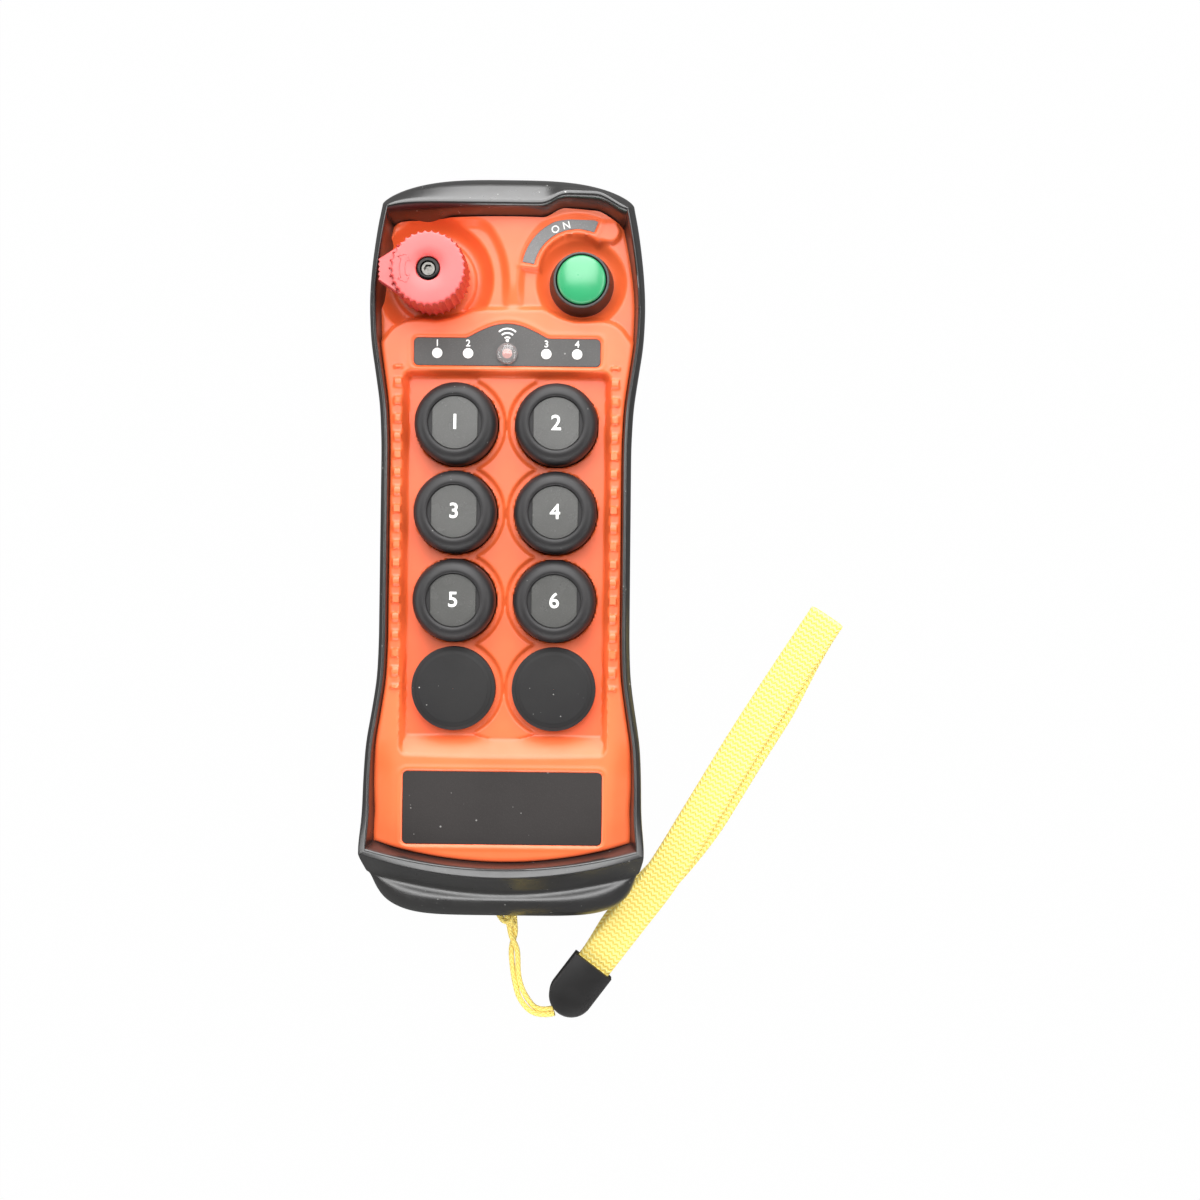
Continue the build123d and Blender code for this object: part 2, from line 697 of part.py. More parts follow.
# Indicator lamps on the board, light pipes and the clear dome over the status lamp
with BuildPart() as indicator_leds:
    for x in window_xs:
        with Locations((x, light_y, board_top_z + 0.4)):
            Box(2.0, 1.2, 0.8)
    with BuildSketch(Plane.XY.offset(board_top_z)):
        with Locations((0, light_y)):
            Circle(2.4)
    extrude(amount=6.0)
    fillet(indicator_leds.faces().sort_by(Axis.Z)[-1].edges(), radius=2.0)
save(indicator_leds.part, "indicator_leds")
with BuildPart() as signal_windows:
    with BuildSketch(Plane.XY.offset(board_top_z + 1.1)):
        with Locations(*[(x, light_y) for x in window_xs]):
            Circle(window_radius)
    extrude(amount=deck_z + 0.15 - board_top_z - 1.1)
save(signal_windows.part, "signal_windows")
with BuildPart() as status_lens:
    with BuildSketch(Plane.XY.offset(board_top_z + 6.4)):
        with Locations((0, light_y)):
            Circle(lens_radius)
    extrude(amount=deck_z + 1.4 - board_top_z - 6.4)
    fillet(status_lens.faces().sort_by(Axis.Z)[-1].edges(), radius=1.9)
save(status_lens.part, "status_lens")

# Labels: the status label round its lamps, the start label and the bare name plate
with BuildPart() as status_label:
    with BuildSketch(Plane.XY.offset(deck_z - label_thick)):
        add(status_outline(0))
        with Locations((0, light_y)):
            Circle(lens_radius + label_gap, mode=Mode.SUBTRACT)
        with Locations(*[(x, light_y) for x in window_xs]):
            Circle(window_radius + label_gap, mode=Mode.SUBTRACT)
    extrude(amount=label_thick - 0.1)
save(status_label.part, "status_label")
with BuildPart() as start_label:
    with BuildSketch(Plane.XY.offset(ledge_z - label_thick)):
        add(ring_sector(start_label_inner, start_label_outer, start_label_from, start_label_to, 0.4))
    extrude(amount=label_thick - 0.1)
save(start_label.part, "start_label")
with BuildPart() as name_plate:
    with BuildSketch(Plane.XY.offset(deck_z - label_thick)):
        with Locations((0, plate_y)):
            RectangleRounded(plate_length, plate_height, plate_corner)
    extrude(amount=label_thick - 0.1)
save(name_plate.part, "name_plate")

# Six push buttons: a rubber boot, a legend insert sunk in its top and a plunger to the switch
plunger_foot_z = switch_top_z + button_travel
for number, (x, y) in enumerate(button_spots, start=1):
    with BuildPart() as boot:
        with BuildSketch(Plane.XZ.offset(-y)):
            insert_z = boot_top_z - insert_sink - insert_thick
            rim_x = x + boot_radius
            seat_x = x + insert_radius + 0.1
            with BuildLine():
                Polyline((x, insert_z), (x, boot_foot_z), (rim_x, boot_foot_z), (rim_x, boot_top_z - 3.3))
                crown = ThreePointArc(
                    (rim_x, boot_top_z - 3.3), (rim_x - 1.3, boot_top_z - 0.75),
                    (rim_x - 2.2, boot_top_z - 0.1),
                )
                ThreePointArc(crown @ 1, (rim_x - 2.9, boot_top_z - 0.05), (seat_x, insert_z + insert_thick))
                Polyline((seat_x, insert_z + insert_thick), (seat_x, insert_z), (x, insert_z))
            make_face()
        revolve(axis=Axis((x, y, 0), (0, 0, 1)), revolution_arc=360)
        with BuildSketch(Plane.XY.offset(boot_foot_z)):
            with Locations((x, y)):
                Circle(plunger_radius + 0.05)
        extrude(amount=2.0, mode=Mode.SUBTRACT)
    save(boot.part, f"button_boot_{number}")
    with BuildPart() as insert:
        with BuildSketch(Plane.XY.offset(insert_z)):
            with Locations((x, y)):
                Circle(insert_radius)
                Rectangle(2 * insert_flat_half, 2 * insert_radius, mode=Mode.INTERSECT)
        extrude(amount=insert_thick)
    save(insert.part, f"button_insert_{number}")
    with BuildPart() as plunger:
        with BuildSketch(Plane.XY.offset(plunger_foot_z)):
            with Locations((x, y)):
                Circle(plunger_radius)
        extrude(amount=boot_foot_z + 2.0 - plunger_foot_z)
    save(plunger.part, f"button_plunger_{number}")

# Blanking plugs in the two unused button places
with BuildPart() as blanking_plugs:
    with BuildSketch(Plane.XY.offset(pocket_floor_z)):
        with Locations(*blank_spots):
            Circle(blank_radius)
    extrude(amount=blank_rise)
    fillet(blanking_plugs.faces().group_by(Axis.Z)[-1].edges(), radius=1.6)
    with BuildSketch(Plane.XY.offset(ceiling_z)):
        with Locations(*blank_spots):
            Circle(blank_stem_radius)
    extrude(amount=pocket_floor_z - ceiling_z)
save(blanking_plugs.part, "blanking_plugs")

# Emergency stop: bush and nut in the deck, turning knob on a shaft, and the sleeve that works the switch
bush_top_z = basin_floor_z + stop_step
with BuildPart() as estop_bush:
    with BuildSketch(Plane.XY.offset(bush_top_z)):
        with Locations((stop_x, stop_y)):
            Circle(bush_flange_radius)
    extrude(amount=1.2)
    with BuildSketch(Plane.XY.offset(ceiling_z - nut_height - 0.4)):
        with Locations((stop_x, stop_y)):
            Circle(bush_radius)
    extrude(amount=bush_top_z - ceiling_z + nut_height + 0.4)
    with BuildSketch(Plane.XY.offset(ceiling_z - nut_height - 0.4)):
        with Locations((stop_x, stop_y)):
            Circle(shaft_radius + shaft_gap)
    extrude(amount=30, mode=Mode.SUBTRACT)
save(estop_bush.part, "estop_bush")
with BuildPart() as panel_nuts:
    for x, y, inner in ((stop_x, stop_y, bush_radius), (start_x, start_y, collar_barrel_radius)):
        with BuildSketch(Plane.XY.offset(ceiling_z - nut_height)):
            with Locations((x, y)):
                RegularPolygon(inner + 2.4, 6)
                Circle(inner + 0.05, mode=Mode.SUBTRACT)
        extrude(amount=nut_height)
save(panel_nuts.part, "panel_nuts")

sleeve_foot_z = board_top_z + 2.4 + stop_travel
sleeve_top_z = ceiling_z - nut_height - 0.7
with BuildPart() as estop_sleeve:
    with BuildSketch(Plane.XY.offset(sleeve_foot_z)):
        with Locations((stop_x, stop_y)):
            Circle(5.0)
    extrude(amount=sleeve_top_z - sleeve_foot_z)
    with BuildSketch(Plane.XY.offset(sleeve_foot_z + 1.2)):
        with Locations((stop_x, stop_y)):
            Circle(shaft_radius + shaft_gap)
    extrude(amount=10, mode=Mode.SUBTRACT)
save(estop_sleeve.part, "estop_sleeve")
with BuildPart() as estop_shaft:
    with BuildSketch(Plane.XY.offset(sleeve_foot_z + 1.5)):
        with Locations((stop_x, stop_y)):
            Circle(shaft_radius)
    extrude(amount=knob_web_z - sleeve_foot_z - 1.5)
    with BuildSketch(Plane.XY.offset(knob_web_z)):
        with Locations((stop_x, stop_y)):
            Circle(screw_radius + 0.05)
    extrude(amount=-6.0, mode=Mode.SUBTRACT)
save(estop_shaft.part, "estop_shaft")
with BuildPart() as estop_knob:
    with BuildSketch(Plane.XY.offset(knob_foot_z)):
        with Locations((stop_x, stop_y)):
            Circle(knob_radius)
            with PolarLocations(knob_radius + 0.18, knob_flutes):
                Circle(0.62, mode=Mode.SUBTRACT)
    extrude(amount=knob_top_z - knob_foot_z)
    chamfer(estop_knob.faces().sort_by(Axis.Z)[-1].edges(), length=0.3)
    with BuildSketch(Plane.XY.offset(pointer_low_z)):
        tip_x = stop_x - pointer_reach
        root_half = knob_radius - 0.9
        with BuildLine():
            Polyline(
                (tip_x, stop_y + pointer_half), (tip_x, stop_y - pointer_half),
                (stop_x - 3.4, stop_y - root_half), (stop_x - 3.4, stop_y + root_half), close=True,
            )
        make_face()
    extrude(amount=pointer_high_z - pointer_low_z)
    with BuildSketch(Plane.XY.offset(knob_foot_z)):
        with Locations((stop_x, stop_y)):
            Circle(knob_bore_radius)
    extrude(amount=knob_web_z - knob_foot_z, mode=Mode.SUBTRACT)
    with BuildSketch(Plane.XY.offset(knob_top_z)):
        with Locations((stop_x, stop_y)):
            Circle(knob_sink_radius)
    extrude(amount=-3.2, mode=Mode.SUBTRACT)
    with BuildSketch(Plane.XY.offset(knob_top_z)):
        with Locations((stop_x, stop_y)):
            Circle(screw_radius + bumper_gap)
    extrude(amount=-10, mode=Mode.SUBTRACT)
save(estop_knob.part, "estop_knob")
with BuildPart() as estop_knob_screw:
    with BuildSketch(Plane.XY.offset(knob_top_z - 3.2)):
        with Locations((stop_x, stop_y)):
            Circle(2.4)
    extrude(amount=2.5)
    chamfer(estop_knob_screw.faces().sort_by(Axis.Z)[-1].edges(), length=0.35)
    with BuildSketch(Plane.XY.offset(knob_top_z - 0.7)):
        with Locations((stop_x, stop_y)):
            RegularPolygon(1.3, 6)
    extrude(amount=-1.6, mode=Mode.SUBTRACT)
    with BuildSketch(Plane.XY.offset(knob_top_z - 3.2)):
        with Locations((stop_x, stop_y)):
            Circle(screw_radius)
    extrude(amount=-8.0)
save(estop_knob_screw.part, "estop_knob_screw")
spring_foot_z = bush_top_z + 1.7
spring_height = knob_web_z - 0.5 - spring_foot_z
save(spring(5.2, 0.45, spring_height, 4, (stop_x, stop_y, spring_foot_z)), "estop_spring")
with BuildPart() as estop_switch:
    with Locations((stop_x, stop_y, board_top_z + 1.05)):
        Box(12, 9, 2.1)
save(estop_switch.part, "estop_switch")

# Start button: black collar in the deck, grey ring, green cap on a sprung stem
collar_floor_z = ceiling_z - nut_height - 1.6
with BuildPart() as start_collar:
    with BuildSketch(Plane.XZ.offset(-start_y)):
        barrel_x = start_x + collar_barrel_radius
        skirt_x = start_x + collar_foot_radius
        bore_x = start_x + cap_radius + cap_gap
        with BuildLine():
            Polyline(
                (start_x + 2.3, collar_floor_z), (barrel_x, collar_floor_z), (barrel_x, basin_floor_z),
                (skirt_x, basin_floor_z), (skirt_x - 0.2, basin_floor_z + 2.0),
                (start_x + collar_top_radius, collar_top_z), (bore_x, collar_top_z),
                (bore_x, collar_floor_z + 1.4), (start_x + 2.3, collar_floor_z + 1.4), close=True,
            )
        make_face()
    revolve(axis=Axis((start_x, start_y, 0), (0, 0, 1)), revolution_arc=360)
save(start_collar.part, "start_collar")
with BuildPart() as start_ring:
    with BuildSketch(Plane.XY.offset(collar_top_z)):
        with Locations((start_x, start_y)):
            Circle(collar_top_radius - 0.1)
            Circle(cap_radius + cap_gap, mode=Mode.SUBTRACT)
    extrude(amount=0.6)
save(start_ring.part, "start_ring")
with BuildPart() as start_cap:
    with BuildSketch(Plane.XZ.offset(-start_y)):
        with BuildLine():
            dome = ThreePointArc(
                (start_x, cap_top_z), (start_x + cap_radius * 0.55, cap_top_z - 0.42),
                (start_x + cap_radius - 0.5, cap_top_z - 1.55),
            )
            Polyline(
                dome @ 1, (start_x + cap_radius, cap_top_z - 2.2), (start_x + cap_radius, cap_top_z - 8.0),
                (start_x + 1.9, cap_top_z - 8.0), (start_x + 1.9, board_top_z + 2.4 + start_travel),
                (start_x, board_top_z + 2.4 + start_travel), (start_x, cap_top_z),
            )
        make_face()
    revolve(axis=Axis((start_x, start_y, 0), (0, 0, 1)), revolution_arc=360)
save(start_cap.part, "start_cap")
spring_foot_z = collar_floor_z + 1.9
spring_height = cap_top_z - 8.5 - spring_foot_z
save(spring(4.0, 0.4, spring_height, 3, (start_x, start_y, spring_foot_z)), "start_spring")
with BuildPart() as start_switch:
    with Locations((start_x, start_y, board_top_z + 1.05)):
        Box(9, 9, 2.1)
save(start_switch.part, "start_switch")

# Lanyard pin, doubled cord, end cap and flat wrist strap
with BuildPart() as lanyard_pin:
    with BuildSketch(Plane.YZ):
        with Locations((pin_y, pin_z)):
            Circle(pin_radius)
    extrude(amount=lug_to, both=True)
save(lanyard_pin.part, "lanyard_pin")
with BuildPart() as lanyard_knot:
    with BuildSketch(Plane.YZ.offset(0.8)):
        with Locations((pin_y, pin_z)):
            Circle(3.2)
            Circle(pin_radius + 0.1, mode=Mode.SUBTRACT)
    extrude(amount=1.7, both=True)
save(lanyard_knot.part, "lanyard_knot")


def route_radii(points):
    """Bend radius at each corner: as large as its two runs allow."""
    radii = []
    for before, corner, after in zip(points, points[1:], points[2:]):
        run_in = Vector(corner) - Vector(before)
        run_out = Vector(after) - Vector(corner)
        turn = radians(run_in.get_angle(run_out))
        radii.append(0.45 * min(run_in.length, run_out.length) / tan(turn / 2))
    return radii


cord_radii = route_radii(cord_points)
with BuildPart() as lanyard_cord:
    with BuildLine():
        route = FilletPolyline(*cord_points, radius=cord_radii)
    with BuildSketch(Plane(origin=route @ 0, z_dir=route % 0)):
        Circle(cord_radius)
    sweep()
save(lanyard_cord.part, "lanyard_cord")

cap_run = Vector(*cap_mouth) - Vector(*cap_end)
cap_plane = Plane(origin=(*cap_end, 0), x_dir=(cap_run.X, cap_run.Y, 0), z_dir=(0, 0, 1))
with BuildPart() as lanyard_cap:
    with BuildSketch(cap_plane):
        with BuildLine():
            round_end = ThreePointArc((cap_half, cap_half), (0, 0), (cap_half, -cap_half))
            Polyline(round_end @ 1, (cap_run.length, -cap_half), (cap_run.length, cap_half), round_end @ 0)
        make_face()
    extrude(amount=cap_thick)
    fillet(lanyard_cap.faces().group_by(Axis.Z)[-1].edges(), radius=1.0)
    with BuildSketch(cap_plane.offset(strap_low_z - 0.1)):
        with Locations((cap_run.length, 0)):
            Rectangle(12.0, strap_width + 0.3)
    extrude(amount=strap_thick + 0.2, mode=Mode.SUBTRACT)
save(lanyard_cap.part, "lanyard_cap")
strap_radii = route_radii(strap_points)
with BuildPart() as wrist_strap:
    with BuildSketch(Plane.XY.offset(strap_low_z)):
        with BuildLine():
            FilletPolyline(*strap_points, radius=strap_radii)
        trace(line_width=strap_width)
    extrude(amount=strap_thick)
save(wrist_strap.part, "wrist_strap")
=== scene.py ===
"""Looks of a hand-held radio remote for a winch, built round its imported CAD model.

The remote lies on its back: +Z is up out of the front face and +Y runs toward the emergency stop end.
Blender works in metres; sizes that belong to the object are written in millimetres and converted.
"""

import json
import logging
import math
from dataclasses import dataclass
from enum import Enum
from typing import Iterable, Sequence

import bpy
import numpy as np
from mathutils import Matrix, Vector

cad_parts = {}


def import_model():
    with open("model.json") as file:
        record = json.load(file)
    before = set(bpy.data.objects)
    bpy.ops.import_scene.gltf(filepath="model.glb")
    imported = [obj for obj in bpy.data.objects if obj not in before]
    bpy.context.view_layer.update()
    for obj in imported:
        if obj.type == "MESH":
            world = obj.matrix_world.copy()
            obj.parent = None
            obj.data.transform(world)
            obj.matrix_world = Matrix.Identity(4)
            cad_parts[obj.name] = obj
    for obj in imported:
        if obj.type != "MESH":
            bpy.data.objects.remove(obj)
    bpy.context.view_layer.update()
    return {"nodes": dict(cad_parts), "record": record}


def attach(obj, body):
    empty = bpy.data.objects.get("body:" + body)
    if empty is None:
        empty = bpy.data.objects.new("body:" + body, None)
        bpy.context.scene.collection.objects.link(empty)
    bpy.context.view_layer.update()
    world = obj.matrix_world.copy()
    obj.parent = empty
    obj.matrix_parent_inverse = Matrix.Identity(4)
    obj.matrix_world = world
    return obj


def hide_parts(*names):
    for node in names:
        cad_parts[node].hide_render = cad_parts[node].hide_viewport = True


MM = 0.001
Colour = tuple[float, float, float]
Point = tuple[float, float, float]
Place = tuple[float, float]
End = tuple[float, float, float, float]
Shape = tuple[np.ndarray, list[list[int]]]
log = logging.getLogger("winch_remote")

# The body that everything but the controls rides on
BODY = "remote_body"

# Places on the face that several pieces share, in millimetres
COLUMN = 12.7
ROWS = (31.5, 9.2, -13.1, -35.4)
STOP = (-18.9, 68.2)
START = (18.6, 67.6)
LAMP_Y = 49.4
WINDOWS = (-17.7, -9.9, 9.9, 17.7)
PLATE_Y = -65.6
DECK = 38.4

# Half the remote's width at its widest line, by place along it
SIDE = (
    (-84.0, 34.6), (-80.5, 35.7), (-77.6, 36.25), (-73.5, 35.9), (-68.0, 35.3), (-58.0, 35.2), (-49.5, 34.8),
    (-41.4, 33.45), (-33.0, 32.2), (-24.0, 31.85), (26.0, 31.75), (36.0, 32.2), (44.0, 33.35), (52.2, 34.6),
    (61.3, 34.95), (69.3, 34.5), (77.0, 33.6), (83.9, 32.5), (87.5, 31.5),
)

# Where a rail's inset and height pass from the side's values to those of the head and the foot
INSET_TO_HEAD, INSET_TO_FOOT = (62, 83), (56, 77)
RISE_TO_HEAD, RISE_TO_FOOT = (34, 84), (36, 80)

# Where the bay round the start label opens, is full, starts to close and ends
BAY = (8.5, 14.5, 22.0, 29.5)

# Colour of the dust specks
DUST = (0.55, 0.54, 0.52)


def linear(red: int, green: int, blue: int) -> Colour:
    """Turn a display colour into scene-linear values.

    Args:
        red, green, blue: The colour's channels, from 0 to 255.

    Returns:
        The three linear channels.
    """
    def channel(value: int) -> float:
        """One channel's linear value."""
        share = value / 255
        return share / 12.92 if share <= 0.04045 else ((share + 0.055) / 1.055) ** 2.4

    return channel(red), channel(green), channel(blue)


class Value:
    """A shader socket that Python's operators can work on."""

    def __init__(self, graph: "Graph", socket: bpy.types.NodeSocket) -> None:
        """Wrap an output socket of a node in the given graph."""
        self.graph = graph
        self.socket = socket

    def _math(self, operation: str, *inputs: "Value | float") -> "Value":
        """Add a Math node on the given inputs."""
        return self.graph.node("ShaderNodeMath", {"operation": operation}, dict(enumerate(inputs)))

    def __add__(self, other: "Value | float") -> "Value":
        """Sum of the two."""
        return self._math("ADD", self, other)

    __radd__ = __add__

    def __sub__(self, other: "Value | float") -> "Value":
        """Difference of the two."""
        return self._math("SUBTRACT", self, other)

    def __rsub__(self, other: float) -> "Value":
        """A number less this value."""
        return self._math("SUBTRACT", other, self)

    def __mul__(self, other: "Value | float") -> "Value":
        """Product of the two."""
        return self._math("MULTIPLY", self, other)

    def wave(self) -> "Value":
        """Sine of this value."""
        return self._math("SINE", self)

    def fraction(self) -> "Value":
        """The part of this value after its whole number."""
        return self._math("FRACT", self)

    def size(self) -> "Value":
        """This value without its sign."""
        return self._math("ABSOLUTE", self)

    def clamp(self) -> "Value":
        """This value kept between zero and one."""
        return self.graph.node("ShaderNodeClamp", {}, {"Value": self})

    def smooth(self, low: float, high: float) -> "Value":
        """Smooth step from zero at low to one at high."""
        sockets = {"Value": self, "From Min": low, "From Max": high}
        return self.graph.node("ShaderNodeMapRange", {"interpolation_type": "SMOOTHSTEP"}, sockets)


class Graph:
    """A material's node tree, with one method that makes every node."""

    def __init__(self, name: str) -> None:
        """Start an empty material of the given name."""
        self.material = bpy.data.materials.new(name)
        self.material.use_nodes = True
        self.tree = self.material.node_tree
        self.tree.nodes.clear()

    def node(
        self,
        kind: str,
        settings: dict[str, object],
        sockets: dict[str | int, object],
        output: str | int = 0,
    ) -> Value:
        """Add a node.

        Args:
            kind: The node's type name.
            settings: Its own properties, set before the sockets.
            sockets: Numbers, colours or values to link, by socket name or place.
            output: The output socket to return, by name or place.

        Returns:
            The chosen output as a value.
        """
        made = self.tree.nodes.new(kind)
        for key, setting in settings.items():
            setattr(made, key, setting)
        for key, given in sockets.items():
            socket = made.inputs[key]
            if isinstance(given, Value):
                self.tree.links.new(given.socket, socket)
            elif isinstance(given, tuple) and socket.type == "RGBA":
                socket.default_value = (*given[:3], 1.0)
            else:
                socket.default_value = given
        return Value(self, made.outputs[output])

    def position(self) -> Value:
        """Position on the object in metres, so a pattern stays with its piece."""
        return self.node("ShaderNodeTexCoord", {}, {}, "Object")

    def noise(self, per_metre: float, detail: float = 2.0, roughness: float = 0.5) -> Value:
        """Soft noise with the given number of lumps to a metre."""
        sockets = {"Vector": self.position(), "Scale": per_metre, "Detail": detail, "Roughness": roughness}
        return self.node("ShaderNodeTexNoise", {}, sockets, "Fac")

    def specks(self, per_metre: float, radius: float) -> Value:
        """Small round specks, one to a cell.

        Args:
            per_metre: Cells to a metre.
            radius: Speck radius as a share of its cell.

        Returns:
            One on a speck and zero off it.
        """
        sockets = {"Vector": self.position(), "Scale": per_metre, "Randomness": 1.0}
        distance = self.node("ShaderNodeTexVoronoi", {}, sockets, "Distance")
        return 1 - distance.smooth(radius * 0.6, radius)

    def mix(self, share: Value | float, first: object, second: object) -> Value:
        """Blend two colours by a share of the second."""
        return self.node("ShaderNodeMix", {"data_type": "RGBA"}, {0: share, 6: first, 7: second}, 2)

    def bump(self, height: Value, strength: float, depth_mm: float) -> Value:
        """A bumped normal from a height that runs from zero to one."""
        sockets = {"Height": height, "Strength": strength, "Distance": depth_mm * MM}
        return self.node("ShaderNodeBump", {}, sockets)

    def principled(self, **sockets: object) -> Value:
        """Add a Principled shader, with underscores for the spaces in its inputs' names."""
        named = {key.replace("_", " "): given for key, given in sockets.items()}
        return self.node("ShaderNodeBsdfPrincipled", {}, named, "BSDF")

    def finish(self, shader: Value) -> bpy.types.Material:
        """Link a shader to the output and return the material."""
        output = self.tree.nodes.new("ShaderNodeOutputMaterial")
        self.tree.links.new(shader.socket, output.inputs["Surface"])
        return self.material


@dataclass(frozen=True)
class Moulded:
    """A moulded plastic, rubber or printed film, with a fine grain, soft colour patches and optional dust."""

    slot: str
    colour: Colour
    deep: Colour
    roughness: float = 0.45
    grain_per_metre: float = 5000.0
    grain_depth_mm: float = 0.02
    grain_strength: float = 0.2
    dust: float = 0.0
    speckle: float = 0.0
    specular: float = 0.5
    coat: float = 0.0

    def build(self, name: str) -> bpy.types.Material:
        """Make the material under the given name."""
        graph = Graph(name)
        patch = graph.noise(60.0, 3.0).smooth(0.35, 0.7)
        colour = graph.mix(patch, self.colour, self.deep)
        grain = graph.noise(self.grain_per_metre, 2.0)
        if self.speckle:
            light = tuple(min(1.0, 1.9 * channel) for channel in self.colour)
            colour = graph.mix(grain.smooth(0.5, 0.75) * self.speckle, colour, light)
        if self.dust:
            chance = graph.noise(170.0, 1.0).smooth(0.52, 0.7)
            fine = graph.specks(520.0, 0.1) * chance
            coarse = graph.specks(160.0, 0.045)
            mask = (fine * self.dust + coarse * self.dust).clamp()
            colour = graph.mix(mask, colour, DUST)
        roughness = self.roughness + (graph.noise(260.0, 4.0) - 0.5) * 0.14
        normal = graph.bump(grain, self.grain_strength, self.grain_depth_mm)
        return graph.finish(graph.principled(
            Base_Color=colour, Roughness=roughness, Normal=normal, Specular_IOR_Level=self.specular,
            Coat_Weight=self.coat, Coat_Roughness=0.4,
        ))


@dataclass(frozen=True)
class Metal:
    """A turned or stamped metal with faint scuffs."""

    slot: str
    colour: Colour
    roughness: float = 0.3

    def build(self, name: str) -> bpy.types.Material:
        """Make the material under the given name."""
        graph = Graph(name)
        worn = graph.noise(900.0, 4.0)
        dull = tuple(0.75 * channel for channel in self.colour)
        colour = graph.mix(worn.smooth(0.4, 0.7), self.colour, dull)
        roughness = self.roughness + (worn - 0.5) * 0.2
        return graph.finish(graph.principled(Base_Color=colour, Metallic=1.0, Roughness=roughness))


@dataclass(frozen=True)
class Clear:
    """A clear moulded lens over the status lamp."""

    slot: str
    tint: Colour
    roughness: float = 0.06

    def build(self, name: str) -> bpy.types.Material:
        """Make the material under the given name."""
        graph = Graph(name)
        haze = graph.noise(1500.0, 2.0)
        return graph.finish(graph.principled(
            Base_Color=self.tint, Roughness=self.roughness + haze * 0.05, IOR=1.49, Transmission_Weight=0.85,
        ))


@dataclass(frozen=True)
class Woven:
    """Woven or braided yarn, with its rows counted along and across the piece's own measure."""

    slot: str
    light: Colour
    shade: Colour
    rows_per_mm: float
    ribs_per_mm: float
    slant: float = 0.5
    depth_mm: float = 0.25

    def build(self, name: str) -> bpy.types.Material:
        """Make the material under the given name."""
        graph = Graph(name)
        measure = graph.node("ShaderNodeUVMap", {"uv_map": "measure"}, {})
        split = graph.node("ShaderNodeSeparateXYZ", {}, {"Vector": measure}, "X")
        along = Value(graph, split.socket.node.outputs["Y"])
        turn = 2 * math.pi
        ribs = split * (self.ribs_per_mm * turn)
        zigzag = (split * self.ribs_per_mm).fraction() - 0.5
        rows = (along * self.rows_per_mm + zigzag.size() * (2 * self.slant)) * turn
        height = rows.wave() * 0.5 * ribs.wave().size() + 0.5
        fibre = graph.noise(2600.0, 3.0)
        shade = graph.mix((height + (fibre - 0.5) * 0.5).smooth(0.2, 0.8), self.shade, self.light)
        normal = graph.bump(height + fibre * 0.25, 0.8, self.depth_mm)
        return graph.finish(graph.principled(
            Base_Color=shade, Roughness=0.72 + (fibre - 0.5) * 0.15, Normal=normal, Specular_IOR_Level=0.3,
            Sheen_Weight=0.15,
        ))


